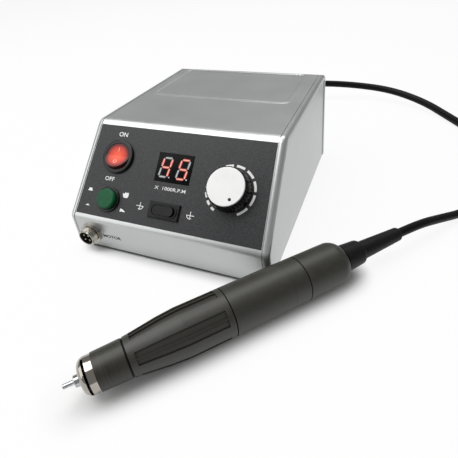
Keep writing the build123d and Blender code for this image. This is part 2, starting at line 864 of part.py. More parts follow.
def make_pot_shaft():
    top = panel_face + pot_shaft_rise
    shaft = rod(pot_shaft_radius, front_board_top() + cut_over + running_gap, top)
    flat_low = panel_face + pot_bush_rise + loose_gap
    shaft -= block((pot_shaft_radius - pot_flat_depth, -pot_shaft_radius, flat_low),
                   (pot_shaft_radius + cut_over, pot_shaft_radius, top + cut_over))
    return on_panel(knob_u, knob_v) * shaft


def knob_side(z):
    """The knob's outer radius at a height above its foot."""
    share = z / (knob_height - knob_cap_thickness)
    return knob_base_radius + share * (knob_top_radius - knob_base_radius)


def make_knob_skirt():
    low = panel_face + knob_lift
    height = knob_height - knob_lift - knob_cap_thickness + knob_cap_sink
    seat = height - knob_cap_sink
    outer = turned([(0, 0), (knob_base_radius, 0), (knob_top_radius, height), (0, height)])
    flute = Pos(knob_base_radius + knob_flute_radius * 0.4, 0, 0) * rod(knob_flute_radius, -cut_over, 2 * knob_height)
    lean = math.degrees(math.atan2(knob_base_radius - knob_top_radius, height))
    flute = Pos(knob_base_radius, 0, 0) * Rot(0, -lean, 0) * Pos(-knob_base_radius, 0, 0) * flute
    flutes = [turn * flute for turn in around(knob_flute_count)]
    outer = outer - flutes
    outer -= rod(knob_cap_radius + running_gap, seat, height + cut_over)
    hollow = ring(knob_hollow_radius, knob_hub_radius, -cut_over, knob_hollow_height)
    outer -= hollow
    outer -= rod(pot_nut_radius + loose_gap, -cut_over, pot_nut_height - knob_lift + loose_gap)
    outer -= rod(pot_bush_radius + loose_gap, -cut_over, panel_face + pot_bush_rise - low + loose_gap)
    outer -= rod(pot_shaft_radius + running_gap, -cut_over, panel_face + pot_shaft_rise - low + running_gap)
    return on_panel(knob_u, knob_v, low) * outer


def make_knob_cap():
    low = panel_face + knob_height - knob_cap_thickness
    high = low + knob_cap_thickness
    cap = rod(knob_cap_radius, low, high)
    cap = fillet(cap.edges().group_by(Axis.Z)[-1], knob_cap_round)
    cap -= Rot(0, 0, knob_dot_angle) * Pos(knob_dot_offset, 0, 0) * rod(
        knob_dot_radius, high - knob_dot_depth, high + cut_over)
    return on_panel(knob_u, knob_v) * cap


def front_board_corners():
    """The front board's lower left and upper right corners, round the display and the speed control."""
    left = display_u - display_width / 2 - front_board_left_margin
    right = knob_u + pot_body_radius + front_board_right_margin
    low = knob_v - pot_body_radius - front_board_lower_margin
    return (left, low), (right, display_v + display_height / 2 + front_board_upper_margin)


def make_front_board():
    top = front_board_top()
    (left, low), (right, high) = front_board_corners()
    return on_panel(0, 0) * block((left, low, top - board_thickness), (right, high, top))


def main_board_corners():
    return [(x, y) for x in (main_board_left + standoff_inset, main_board_right - standoff_inset)
            for y in (main_board_front_inset + standoff_inset, main_board_rear - standoff_inset)]


def make_standoffs():
    """Four under the main board, and two that hang the front board from the sloping wall."""
    below = [Pos(x, y, 0) * rod(standoff_radius, base_top, base_top + standoff_height)
             for x, y in main_board_corners()]
    (left, _), (right, high) = front_board_corners()
    above = [on_panel(u, high - standoff_radius) * rod(standoff_radius, front_board_top(), -wall)
             for u in (left + standoff_radius, right - standoff_radius)]
    return below + above


def make_main_board():
    low = base_top + standoff_height
    return block((main_board_left, main_board_front_inset, low),
                 (main_board_right, main_board_rear, low + board_thickness))


def main_board_top():
    return base_top + standoff_height + board_thickness


def make_transformer_core():
    x, y, half = transformer_x, transformer_y, core_length / 2
    limb = core_length * core_limb_share / 2
    core = block((x - half, y - core_depth / 2, base_top), (x + half, y + core_depth / 2, base_top + core_height))
    for side in (-1, 1):
        inner, outer = sorted((x + side * limb, x + side * (half - limb)))
        core -= block((inner, y - core_depth, base_top + limb), (outer, y + core_depth, base_top + core_height - limb))
    return core


def make_transformer_winding():
    x, y, half = transformer_x, transformer_y, core_length / 2
    limb = core_length * core_limb_share / 2
    gap = winding_gap
    low, high = base_top + limb + gap, base_top + core_height - limb - gap
    reach = core_depth / 2 + winding_overhang
    coil = block((x - half + limb + gap, y - reach, low), (x + half - limb - gap, y + reach, high))
    upright = coil.edges().filter_by(Axis.Z)
    coil = fillet(upright, winding_overhang / 2)
    return coil - block((x - limb - gap, y - core_depth / 2 - gap, low - cut_over),
                        (x + limb + gap, y + core_depth / 2 + gap, high + cut_over))


def make_heat_sink():
    x, y, low = main_board_left + sink_edge_inset, main_board_front_inset + sink_front_inset, main_board_top()
    sink = block((x, y, low), (x + sink_base_thickness, y + sink_length, low + sink_height))
    for i in range(fin_count):
        fin_y = y + i * fin_pitch
        sink += block((x, fin_y, low), (x + 4 * sink_base_thickness, fin_y + fin_thickness, low + sink_height))
    return sink


def make_capacitors():
    x, y = main_board_right - capacitor_edge_inset, main_board_front_inset + capacitor_front_inset
    room = main_board_rear - capacitor_rear_inset - y
    return [Pos(x, y + i * capacitor_pitch, main_board_top()) * rod(capacitor_radius, 0, capacitor_height)
            for i in range(int(room / capacitor_pitch) + 1)]


def make_socket_shell():
    r, bore = socket_barrel_radius, socket_bore_radius
    face = -front_undercut * (knee_height - socket_height - socket_flange_radius) / knee_height
    outline = [(bore, -socket_inner_length), (r - socket_thread_depth, -socket_inner_length),
               (r - socket_thread_depth, face), (socket_flange_radius, face),
               (socket_flange_radius, socket_flange_thickness), (r - socket_thread_depth, socket_flange_thickness)]
    for i in range(socket_thread_count):
        z = socket_flange_thickness + (i + 0.3) * socket_thread_pitch
        outline += [(r - socket_thread_depth, z), (r, z + socket_thread_pitch * 0.35),
                    (r, z + socket_thread_pitch * 0.45), (r - socket_thread_depth, z + socket_thread_pitch * 0.8)]
    outline += [(r - socket_thread_depth, socket_rise), (bore, socket_rise)]
    return socket_frame * turned(outline)


def make_socket_insulator():
    top = socket_rise - socket_insulator_sink
    body = rod(socket_bore_radius - running_gap, -socket_inner_length, top)
    for turn in around(socket_pin_count, 45):
        body -= turn * Pos(socket_pin_circle, 0, 0) * rod(socket_pin_radius, -2 * socket_inner_length, top + cut_over)
    return socket_frame * body


def make_socket_pins():
    top = socket_rise - socket_insulator_sink + socket_pin_rise
    pin = Pos(socket_pin_circle, 0, 0) * rod(socket_pin_radius - running_gap / 2, -socket_inner_length - cut_over, top)
    return [socket_frame * turn * pin for turn in around(socket_pin_count, 45)]


def handpiece_tip():
    """The blank's tip: the handpiece lies past the middle of the box's rounded front right corner."""
    lean_y = front_undercut * (1 - (handpiece_axis_z - foot_height) / knee_height)
    corner = Vector(half_width(handpiece_axis_z) - bead_radius, lean_y + bead_radius, handpiece_axis_z)
    beside = bead_radius + handpiece_corner_gap + handpiece_radius
    return corner + Vector(along.Y, -along.X, 0) * beside - along * handpiece_tip_before_corner


along = Vector(math.cos(math.radians(handpiece_heading)), math.sin(math.radians(handpiece_heading)), 0)
handpiece = Plane(origin=handpiece_tip(), x_dir=(0, 0, 1), z_dir=along).location


def make_blank():
    blank = rod(blank_radius, 0, blank_length)
    return handpiece * chamfer(blank.edges().group_by(Axis.Z)[0], blank_chamfer)


def make_collet():
    front, collar_end = collet_face_s, collet_face_s + collet_collar_length
    bore = blank_radius + running_gap / 5
    outline = [(bore, front), (collet_collar_radius - blank_chamfer, front),
               (collet_collar_radius, front + blank_chamfer), (collet_collar_radius, collar_end),
               (collet_radius, collar_end), (collet_radius, collet_end_s), (0, collet_end_s), (0, blank_length),
               (bore, blank_length)]
    collet = turned(outline)
    for turn in around(collet_slit_count):
        collet -= turn * block((0, -collet_slit_width / 2, front - cut_over),
                               (collet_collar_radius + cut_over, collet_slit_width / 2, collet_slit_end_s))
    return handpiece * collet


def make_nose_cap():
    front, back = nose_face_s, front_sleeve_s
    bore = nose_bore_radius
    outer = turned([(0, front), (nose_radius, front), (nose_radius, back), (0, back)])
    outer = fillet(outer.edges().group_by(Axis.Z)[0], nose_round)
    outer -= rod(bore, front - cut_over, back + cut_over)
    outer -= rod(housing_front_radius + running_gap, housing_front_s, back + cut_over)
    slot = ring(nose_radius + cut_over, nose_radius - nose_slot_depth, nose_slot_s, nose_slot_s + nose_slot_width)
    half = nose_radius * math.tan(math.radians(nose_bridge_angle / 2))
    bridge = block((-2 * nose_radius, -half, nose_slot_s - cut_over), (2 * nose_radius, half, front_sleeve_s))
    return handpiece * (outer - (slot - Rot(0, 0, nose_bridge_turn) * bridge))


def make_front_sleeve():
    groove = sleeve_groove
    bore = housing_front_radius + running_gap
    outline = [(bore, front_sleeve_s), (front_sleeve_radius, front_sleeve_s),
               (grip_front_radius - running_gap, groove_1_s - groove), (bore, groove_1_s - groove)]
    return handpiece * turned(outline)


def make_grip_sleeve():
    front, back = groove_1_s + sleeve_groove / 2, groove_2_s - sleeve_groove / 2
    bore = housing_mid_radius + running_gap
    hollow_end = chuck_spring_end_s + loose_gap
    outline = [(bore, front), (grip_front_radius, front)]
    outline += list(zip(grip_radii, grip_stations))
    outline += [(handpiece_radius - running_gap, back), (bore, back), (bore, hollow_end),
                (grip_hollow_radius, hollow_end), (grip_hollow_radius, grip_hollow_start + grip_hollow_radius - bore),
                (bore, grip_hollow_start)]
    sleeve = turned(outline)
    flute_low, flute_high = front + flute_end_margin, back - flute_end_margin
    band = [(r - flute_depth, s) for r, s in zip(grip_radii, grip_stations)]
    start_radius = grip_front_radius + (grip_radii[0] - grip_front_radius) * (
        (flute_low - front) / (grip_stations[0] - front))
    floor_line = [(start_radius - flute_depth, flute_low)] + band + [(handpiece_radius - flute_depth, flute_high)]
    far = handpiece_radius + cut_over
    deep = turned(floor_line + [(far, flute_high), (far, flute_low)])
    reach = far / math.cos(math.radians(flute_angle / 2))
    half = math.radians(flute_angle / 2)
    wedge = extrude(make_face(Polyline((0, 0), (reach * math.cos(half), -reach * math.sin(half)),
                                       (reach * math.cos(half), reach * math.sin(half)), close=True)),
                    flute_high + cut_over)
    rib = block((0, -flute_rib_width / 2, 0), (far, flute_rib_width / 2, flute_high + cut_over))
    flute = deep & (wedge - rib)
    for turn in around(flute_count, flute_turn):
        sleeve -= turn * flute
    return handpiece * sleeve


def make_motor_sleeve():
    front, back = groove_2_s + sleeve_groove / 2, groove_3_s - sleeve_groove / 2
    bore = housing_rear_radius + running_gap
    outline = [(bore, front), (handpiece_radius - running_gap, front), (handpiece_radius, front + sleeve_groove),
               (handpiece_radius, step_s), (handpiece_radius - step_drop, step_s),
               (handpiece_radius - step_drop, back), (bore, back)]
    return handpiece * turned(outline)


def make_rear_sleeve():
    front, back = groove_3_s + sleeve_groove / 2, rear_sleeve_end_s
    outline = [(0, front), (handpiece_radius - step_drop, front), (rear_sleeve_radius, back), (0, back)]
    sleeve = turned(outline)
    sleeve = fillet(sleeve.edges().group_by(Axis.Z)[-1], rear_round)
    bore = housing_rear_radius + running_gap
    sleeve -= rod(bore, front - cut_over, housing_end_s + running_gap)
    sleeve -= rod(motor_cord_diameter / 2 + housing_wall, front, back + cut_over)
    return handpiece * sleeve


def make_collar():
    collar = turned([(0, rear_sleeve_end_s), (collar_radius, rear_sleeve_end_s),
                     (collar_end_radius, collar_end_s), (0, collar_end_s)])
    return handpiece * fillet(collar.edges().group_by(Axis.Z)[-1], collar_round)


def make_boot():
    boot = turned([(0, collar_end_s), (boot_radius, collar_end_s), (boot_end_radius, boot_end_s), (0, boot_end_s)])
    return handpiece * fillet(boot.edges().group_by(Axis.Z)[-1], boot_round)


def make_inner_housing():
    mid, rear = groove_1_s - sleeve_groove, groove_2_s + sleeve_groove / 2
    outline = [
        (housing_bore_radius, housing_front_s + running_gap), (housing_front_radius, housing_front_s + running_gap),
        (housing_front_radius, mid), (housing_mid_radius, mid), (housing_mid_radius, rear),
        (housing_rear_radius, rear), (housing_rear_radius, housing_end_s),
        (bearing_seat_radius(), housing_end_s), (bearing_seat_radius(), rear_bearing_s),
        (bearing_seat_radius() - housing_wall, rear_bearing_s),
        (bearing_seat_radius() - housing_wall, rear_bearing_s - housing_wall),
        (housing_rear_bore_radius, rear_bearing_s - housing_wall),
        (housing_rear_bore_radius, motor_bay_start), (housing_bore_radius, motor_bay_start),
    ]
    return handpiece * turned(outline)


def bearing_seat_radius():
    return housing_bore_radius


def bearing_stations():
    return list(front_bearing_stations) + [rear_bearing_s]


def make_bearing_outer_rings():
    outer = housing_bore_radius
    return [handpiece * ring(outer, outer - bearing_race, s, s + bearing_width) for s in bearing_stations()]


def make_bearing_inner_rings():
    inner = spindle_radius
    return [handpiece * ring(inner + bearing_race, inner, s, s + bearing_width) for s in bearing_stations()]


def make_spindle():
    bore_end = collet_end_s + loose_gap
    spindle = rod(spindle_radius, spindle_start_s, spindle_end_s)
    spindle -= rod(collet_radius + running_gap / 5, spindle_start_s - cut_over, bore_end)
    return handpiece * spindle


def make_magnet():
    return handpiece * ring(magnet_radius, spindle_radius, magnet_start, magnet_end)


def make_stator():
    return handpiece * ring(housing_rear_bore_radius, stator_bore_radius, magnet_start, magnet_end)


def make_stator_windings():
    outer = housing_rear_bore_radius - housing_wall
    ends = [(magnet_start - winding_length + running_gap, magnet_start), (magnet_end, magnet_end + winding_length)]
    rings = []
    for low, high in ends:
        coil = ring(outer, winding_bore_radius, low, high)
        rings.append(handpiece * fillet(coil.edges().filter_by(GeomType.CIRCLE), winding_length / 5))
    return rings


def make_release_ring():
    inner, outer = housing_mid_radius + loose_gap / 2, grip_hollow_radius - loose_gap / 2
    return handpiece * ring(outer, inner, release_ring_s, release_ring_s + release_ring_length)


def make_chuck_spring():
    low = release_ring_s + release_ring_length + release_travel + loose_gap
    middle = (housing_mid_radius + grip_hollow_radius) / 2
    half = chuck_spring_thickness / 2
    return handpiece * ring(middle + half, middle - half, low, chuck_spring_end_s)


def joined_route(points):
    """Straight runs joined by tangent arcs, each as large as its two runs allow."""
    vectors = [Vector(*p) for p in points]
    runs = [(b - a).length for a, b in zip(vectors, vectors[1:])]
    radii = []
    for i in range(1, len(vectors) - 1):
        turn = (vectors[i] - vectors[i - 1]).get_angle(vectors[i + 1] - vectors[i])
        radii.append(0.45 * min(runs[i - 1], runs[i]) / math.tan(math.radians(turn / 2)))
    return FilletPolyline(*vectors, radius=radii), radii


def cord_along(name, points, diameter):
    """The free stretch of a cord as one tube, with its radii and its volume printed."""
    path, radii = joined_route(points)
    section = Plane(origin=path @ 0, z_dir=path % 0) * Circle(diameter / 2)
    tube = sweep(section, path=path)
    share = tube.volume / (math.pi * (diameter / 2) ** 2 * path.length)
    print(name, "length", round(path.length, 1), "radii", [round(r) for r in radii], "volume share", round(share, 4))
    return tube, path.length


def biarc(start, start_way, end, end_way):
    """Two tangent arcs between two points with given directions."""
    step = end - start
    both = start_way + end_way
    a = 2 * (1 - start_way.dot(end_way))
    b = 2 * step.dot(both)
    c = -step.dot(step)
    reach = (-b + math.sqrt(b * b - 4 * a * c)) / (2 * a) if abs(a) > 1e-9 else -c / b
    first, second = start + start_way * reach, end - end_way * reach
    middle = (first + second) / 2
    middle_way = (second - first).normalized()
    return [TangentArc(start, middle, tangent=start_way), TangentArc(middle, end, tangent=middle_way)]


def coil_point(centre, start, spin, radius_out, pitch, turns, diameter, angle):
    """Where the coil's centreline is after it has turned by an angle, and its direction there."""
    full = 360 * turns
    reverse = full + 90
    layer = diameter + coil_layer_gap
    low = diameter / 2 + bench_gap

    def place(at):
        radius = radius_out - pitch * min(at, 2 * reverse - at) / 360
        share = min(max((at - full) / 180, 0), 1)
        height = low + layer * (3 * share * share - 2 * share * share * share)
        way = math.radians(start + spin * at)
        return Vector(centre[0] + radius * math.cos(way), centre[1] + radius * math.sin(way), height)

    if angle in (0, reverse, 2 * reverse):
        way = math.radians(start + spin * angle)
        radius = radius_out - pitch * min(angle, 2 * reverse - angle) / 360
        slope = layer * 1.5 / math.pi if angle == reverse else 0
        return place(angle), Vector(-spin * math.sin(way) * radius, spin * math.cos(way) * radius, slope).normalized()
    step = 0.01
    return place(angle), (place(angle + step) - place(angle - step)).normalized()


def coil_radius(pitch, turns, width):
    """The outermost radius that puts the middle of the turns at half the wanted width."""
    return width / 2 + pitch * (turns + 0.25) / 2


def least_gap(points, diameter, apart):
    """The least space between stretches of a line that are further apart along it than a given length."""
    step = (points[1] - points[0]).length
    skip = int(apart / step) + 1
    least = math.inf
    for i, a in enumerate(points):
        for b in points[i + skip:]:
            least = min(least, (a - b).length)
    return least - diameter


def coil_of(name, centre, start, spin, pitch, turns, width, diameter, tail, tail_height):
    """Loops that spiral in along the bench, climb a layer, and spiral out again, with a straight tail."""
    radius_out = coil_radius(pitch, turns, width)
    stops = [90 * i for i in range(4 * turns + 1)] + [360 * turns + 90]
    stops += [360 * turns + 180 + 90 * i for i in range(4 * turns + 1)]
    found = [coil_point(centre, start, spin, radius_out, pitch, turns, diameter, a) for a in stops]
    lead_point, flat_way = found[0]
    edges = [Line(lead_point - flat_way * diameter, lead_point)]
    for (p0, t0), (p1, t1) in zip(found, found[1:]):
        edges += biarc(p0, t0, p1, t1)
    last, last_way = found[-1]
    tail_end = last + last_way * (tail - diameter) + Vector(0, 0, tail_height - last.Z)
    edges += biarc(last, last_way, tail_end, last_way)
    far_end = tail_end + last_way * diameter
    edges.append(Line(tail_end, far_end))
    path = Wire(edges)
    section = Plane(origin=lead_point - flat_way * diameter, z_dir=flat_way) * Circle(diameter / 2)
    tube = sweep(section, path=path)
    samples = []
    for edge in edges:
        count = max(int(edge.length / diameter * 2), 2)
        samples += [edge.position_at(i / count) for i in range(count)]
    gap = least_gap(samples, diameter, 5 * diameter)
    share = tube.volume / (math.pi * (diameter / 2) ** 2 * path.length)
    print(name, "length", round(path.length, 1), "least gap", round(gap, 2), "volume share", round(share, 4),
          "starts", tuple(round(c, 2) for c in lead_point - flat_way * diameter),
          "ends", tuple(round(c, 2) for c in far_end), "way", round(math.degrees(math.atan2(last_way.Y, last_way.X)), 2))
    return tube, path.length, far_end, last_way


def facing(point, way):
    """A frame whose Z runs along a level direction and whose X points up."""
    return Plane(origin=point, x_dir=(0, 0, 1), z_dir=way).location


def motor_plug_end():
    """How far the plug's tongue reaches from the end of the cord."""
    return motor_plug_neck_length + motor_plug_length + motor_tongue_length


def make_motor_plug_body(place):
    neck = turned([(0, 0), (motor_plug_neck_radius, 0), (motor_plug_neck_radius + motor_plug_round,
                                                         motor_plug_neck_length), (0, motor_plug_neck_length)])
    body = rod(motor_plug_radius, motor_plug_neck_length, motor_plug_neck_length + motor_plug_length)
    body = fillet(body.edges().group_by(Axis.Z)[0], motor_plug_round)
    body += rod(socket_bore_radius - running_gap, motor_plug_neck_length + motor_plug_length, motor_plug_end())
    body -= rod(motor_insert_radius, motor_plug_end() - motor_insert_length, motor_plug_end() + cut_over)
    return place * (neck + body)


def make_motor_plug_nut(place):
    high = motor_plug_end() + motor_nut_overhang
    low = high - motor_nut_length
    nut = ring(motor_nut_radius, motor_plug_radius + running_gap, low, high)
    groove = Pos(motor_nut_radius, 0, 0) * rod(motor_nut_knurl_radius, low - cut_over, high + cut_over)
    return place * (nut - [turn * groove for turn in around(motor_nut_knurl_count)])


def make_motor_plug_insert(place):
    end = motor_plug_end()
    insert = rod(motor_insert_radius - running_gap, end - motor_insert_length, end - fit_gap)
    for turn in around(socket_pin_count, 45):
        insert -= turn * Pos(socket_pin_circle, 0, 0) * rod(motor_hole_radius, end - motor_hole_depth, end + cut_over)
    return place * insert


def make_mains_plug_body(place):
    nose, tail = mains_plug_nose_length, mains_plug_length - mains_plug_nose_length
    wide = RectangleRounded(mains_plug_thickness, mains_plug_width, mains_plug_round)
    narrow = RectangleRounded(mains_plug_tail_thickness, mains_plug_tail_width, mains_plug_round)
    front = Pos(0, 0, tail) * extrude(wide, nose)
    back = loft([narrow, Pos(0, 0, tail) * wide], ruled=True)
    return place * (front + back)


def make_mains_plug_blades(place):
    start = mains_plug_length
    blades = []
    for side in (-1, 1):
        x, y = blade_centre_offset, side * blade_pitch / 2
        blades.append(place * block((x - blade_width / 2, y - blade_thickness / 2, start),
                                    (x + blade_width / 2, y + blade_thickness / 2, start + blade_length)))
    earth = Pos(blade_centre_offset - earth_pin_offset, 0, 0) * rod(earth_pin_radius, start, start + earth_pin_length)
    blades.append(place * fillet(earth.edges().group_by(Axis.Z)[-1], earth_pin_radius * 0.6))
    return blades


mains_cord, mains_free = cord_along("mains cord", mains_route, mains_cord_diameter)
mains_coil, mains_coiled, mains_end, mains_way = coil_of(
    "mains coil", mains_coil_centre, mains_coil_start, mains_coil_spin, mains_coil_pitch, mains_coil_turns,
    11 * mains_cord_diameter, mains_cord_diameter, tail_length, mains_plug_thickness / 2)
motor_cord, motor_free = cord_along("handpiece cord", motor_route, motor_cord_diameter)
motor_coil, motor_coiled, motor_end, motor_way = coil_of(
    "handpiece coil", motor_coil_centre, motor_coil_start, motor_coil_spin, motor_coil_pitch, motor_coil_turns,
    11 * motor_cord_diameter, motor_cord_diameter, motor_plug_tail_length, motor_nut_radius)
print("mains cord whole", round(mains_free + mains_coiled), "handpiece cord whole", round(motor_free + motor_coiled))
mains_plug = facing(mains_end, mains_way)
motor_plug = facing(motor_end, motor_way)

nodes = {
    "top_cover": make_top_cover(),
    "base_plate": make_base_plate(),
    "rubber_feet": make_feet(),
    "case_screws": make_screws(),
    "rear_panel": make_rear_panel(),
    "mains_strain_relief": make_strain_relief(),
    "fuse_holder": make_fuse_holder(),
    "foot_pedal_jack": make_pedal_jack(),
    "front_overlay": make_overlay(),
    "power_switch_housing": make_rocker_housing(),
    "power_rocker": make_rocker(),
    "mode_button_bezel": make_button_bezel(),
    "mode_button_cap": make_button_cap(),
    "direction_switch_frame": make_switch_frame(),
    "direction_paddle": make_direction_paddle(),
    "display_module": make_display_module(),
    "display_segments_lit": make_segments(True),
    "display_segments_dark": make_segments(False),
    "speed_pot_body": make_pot_body(),
    "speed_pot_nut": make_pot_nut(),
    "speed_pot_shaft": make_pot_shaft(),
    "speed_knob_skirt": make_knob_skirt(),
    "speed_knob_cap": make_knob_cap(),
    "front_board": make_front_board(),
    "board_standoffs": make_standoffs(),
    "main_board": make_main_board(),
    "transformer_core": make_transformer_core(),
    "transformer_winding": make_transformer_winding(),
    "heat_sink": make_heat_sink(),
    "filter_capacitors": make_capacitors(),
    "motor_socket_shell": make_socket_shell(),
    "motor_socket_insulator": make_socket_insulator(),
    "motor_socket_pins": make_socket_pins(),
    "collet_blank": make_blank(),
    "collet": make_collet(),
    "nose_cap": make_nose_cap(),
    "front_sleeve": make_front_sleeve(),
    "grip_sleeve": make_grip_sleeve(),
    "motor_sleeve": make_motor_sleeve(),
    "rear_sleeve": make_rear_sleeve(),
    "rear_collar": make_collar(),
    "cord_boot": make_boot(),
    "inner_housing": make_inner_housing(),
    "bearing_outer_rings": make_bearing_outer_rings(),
    "bearing_inner_rings": make_bearing_inner_rings(),
    "spindle": make_spindle(),
    "rotor_magnet": make_magnet(),
    "stator": make_stator(),
    "stator_windings": make_stator_windings(),
    "chuck_release_ring": make_release_ring(),
    "chuck_spring": make_chuck_spring(),
}
cords = {
    "mains_cord": mains_cord,
    "mains_cord_coil": mains_coil,
    "mains_plug_body": make_mains_plug_body(mains_plug),
    "mains_plug_blades": make_mains_plug_blades(mains_plug),
    "handpiece_cord": motor_cord,
    "handpiece_cord_coil": motor_coil,
    "motor_plug_body": make_motor_plug_body(motor_plug),
    "motor_plug_nut": make_motor_plug_nut(motor_plug),
    "motor_plug_insert": make_motor_plug_insert(motor_plug),
}


def as_shape(made):
    """One solid, or several as a group."""
    return Compound(children=list(made)) if isinstance(made, list) else made


shapes = {name: as_shape(made) for name, made in nodes.items()}
boxes = [shape.bounding_box() for shape in shapes.values()]
low_x, high_x = min(box.min.X for box in boxes), max(box.max.X for box in boxes)
low_y, high_y = min(box.min.Y for box in boxes), max(box.max.Y for box in boxes)
shift = (-(low_x + high_x) / 2, -(low_y + high_y) / 2, 0)
print("x", round(low_x, 2), round(high_x, 2), "y", round(low_y, 2), round(high_y, 2),
      "shift", [round(value, 4) for value in shift], "lowest", round(min(box.min.Z for box in boxes), 3))

shapes.update({name: as_shape(made) for name, made in cords.items()})
os.makedirs("parts", exist_ok=True)
for name, shape in shapes.items():
    export_step(Pos(*shift) * shape, "parts/" + name + ".step")
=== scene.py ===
# %% [markdown]
# # Dressing a dental lab micromotor
# The object is a bench control box with a sloping panel, a slim rotary handpiece that lies in front of it,
# and two cords. Its solids come finished from CAD and are loaded as a fixed frame. This lesson adds what
# CAD can't hold: the finishes, the printed legends, the soft cords, the light and the camera.

import math

import bpy
from mathutils import Matrix, Vector
from mathutils.bvhtree import BVHTree


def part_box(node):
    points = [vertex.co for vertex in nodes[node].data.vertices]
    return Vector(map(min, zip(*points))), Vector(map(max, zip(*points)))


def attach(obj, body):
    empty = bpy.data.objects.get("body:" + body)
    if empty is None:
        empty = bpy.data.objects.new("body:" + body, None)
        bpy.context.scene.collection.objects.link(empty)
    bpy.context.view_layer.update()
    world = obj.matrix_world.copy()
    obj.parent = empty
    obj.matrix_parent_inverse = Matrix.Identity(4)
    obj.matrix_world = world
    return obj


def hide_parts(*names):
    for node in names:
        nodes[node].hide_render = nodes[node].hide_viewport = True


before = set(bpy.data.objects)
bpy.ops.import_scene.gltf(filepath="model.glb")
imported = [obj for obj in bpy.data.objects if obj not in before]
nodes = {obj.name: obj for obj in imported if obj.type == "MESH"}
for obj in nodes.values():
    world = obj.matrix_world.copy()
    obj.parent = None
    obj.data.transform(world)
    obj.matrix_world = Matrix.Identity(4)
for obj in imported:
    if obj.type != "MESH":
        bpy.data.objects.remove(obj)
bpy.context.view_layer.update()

# %% [markdown]
# ## Two frames to measure in
# The box was drawn with x = 0 at its middle, y = 0 at the front edge of the slope and z = 0 on the bench.
# The finished model stands with its origin elsewhere, so one function carries a place in millimetres from
# the box's own frame to the model's, in metres. A second one does the same for the sloping panel, where u
# runs to the right, v up the slope and h straight out of it. The base plate's box gives the shift.

# %% Places on the bench and on the panel
MM = 0.001
REAR_FACE_Y = 176.0
PANEL_FOOT_Z = 25.0
SLOPE_RISE, SLOPE_RUN = 49.0, 50.0
plate_low, plate_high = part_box("base_plate")
shift = Vector(((plate_low.x + plate_high.x) / 2, plate_high.y - REAR_FACE_Y * MM, 0))

slope = math.atan2(SLOPE_RISE, SLOPE_RUN)
across = Vector((1, 0, 0))
up_slope = Vector((0, math.cos(slope), math.sin(slope)))
out_of_slope = Vector((0, -math.sin(slope), math.cos(slope)))


def bench(x, y, z):
    """A place in the box's own frame, in millimetres, as a place in the model."""
    return Vector((x, y, z)) * MM + shift


def panel(u, v, h=0.0):
    """A place on the sloping panel, in millimetres, as a place in the model."""
    return (Vector((0, 0, PANEL_FOOT_Z)) + across * u + up_slope * v + out_of_slope * h) * MM + shift


print("the model is moved by", [round(c / MM, 3) for c in shift], "mm")

# %% [markdown]
# ## Camera
# The camera stands where the photographer's stood: a little right of the box, close to it, and tilted down
# by 38 degrees, with a slight roll. Its place and lens were solved from the box's edges and the display's
# size. A camera looks along its own -Z, so the matrix takes right, up and backwards as its columns.

# %% Camera
YAW, PITCH, ROLL = (math.radians(angle) for angle in (-24.057, 38.515, -4.468))
CAMERA_PLACE = (111.72, -142.83, 164.83)
FOCAL_PIXELS, FRAME_PIXELS = 360.654, 458
SENSOR_MM, NEAREST_M = 36.0, 0.01
look = Vector((math.sin(YAW) * math.cos(PITCH), math.cos(YAW) * math.cos(PITCH), -math.sin(PITCH)))
level = Vector((math.cos(YAW), -math.sin(YAW), 0))
above = level.cross(look)
right = level * math.cos(ROLL) + above * math.sin(ROLL)
up = above * math.cos(ROLL) - level * math.sin(ROLL)

camera_data = bpy.data.cameras.new("camera")
camera_data.sensor_width = SENSOR_MM
camera_data.lens = SENSOR_MM * FOCAL_PIXELS / FRAME_PIXELS
camera_data.clip_start = NEAREST_M
camera = bpy.data.objects.new("camera", camera_data)
camera_turn = Matrix((right, up, -look)).transposed().to_4x4()
camera.matrix_world = Matrix.Translation(bench(*CAMERA_PLACE)) @ camera_turn
bpy.context.scene.collection.objects.link(camera)
bpy.context.scene.camera = camera
bpy.context.scene.view_settings.view_transform = "Standard"
print("lens", round(camera_data.lens, 2), "mm, camera at", [round(c, 4) for c in camera.location])

# %% [markdown]
# ## Three helpers for materials
# Every finish below starts from a real material. A designer writes its colour in hex, and Blender counts in
# linear light, so one function converts. A second adds any node with its settings and its inputs, which are
# values or links. The third makes the part that all finishes share: a colour that drifts between two shades
# over patches of a real size, and a fine grain, also of a real size, that the light catches as a bump. The
# pattern is laid out in object coordinates, so it needs no unwrapped mesh and keeps its size on every node.

# %% Colour, nodes and a finish
MATH, VECTOR_MATH, MAP_RANGE = "ShaderNodeMath", "ShaderNodeVectorMath", "ShaderNodeMapRange"
# Noise has few values near 0 and 1, so its middle part is spread over the whole range of roughness.
NOISE_LOW, NOISE_HIGH = 0.3, 0.7
DRIFT_DETAIL, GRAIN_DETAIL, GRAIN_SHARE, BUMP_STRENGTH = 3.0, 2.0, 0.5, 0.6


def linear(colour):
    """A colour written in hex, as linear light."""
    parts = [int(colour[i:i + 2], 16) / 255 for i in (1, 3, 5)]
    return [c / 12.92 if c <= 0.04045 else ((c + 0.055) / 1.055) ** 2.4 for c in parts] + [1.0]


def add_node(tree, kind, settings=None, inputs=None):
    """A node of that kind, with its settings, and its inputs as values or as links from other nodes."""
    node = tree.nodes.new(kind)
    for name, value in (settings or {}).items():
        setattr(node, name, value)
    for name, value in (inputs or {}).items():
        if isinstance(value, bpy.types.NodeSocket):
            tree.links.new(value, node.inputs[name])
        else:
            node.inputs[name].default_value = value
    return node


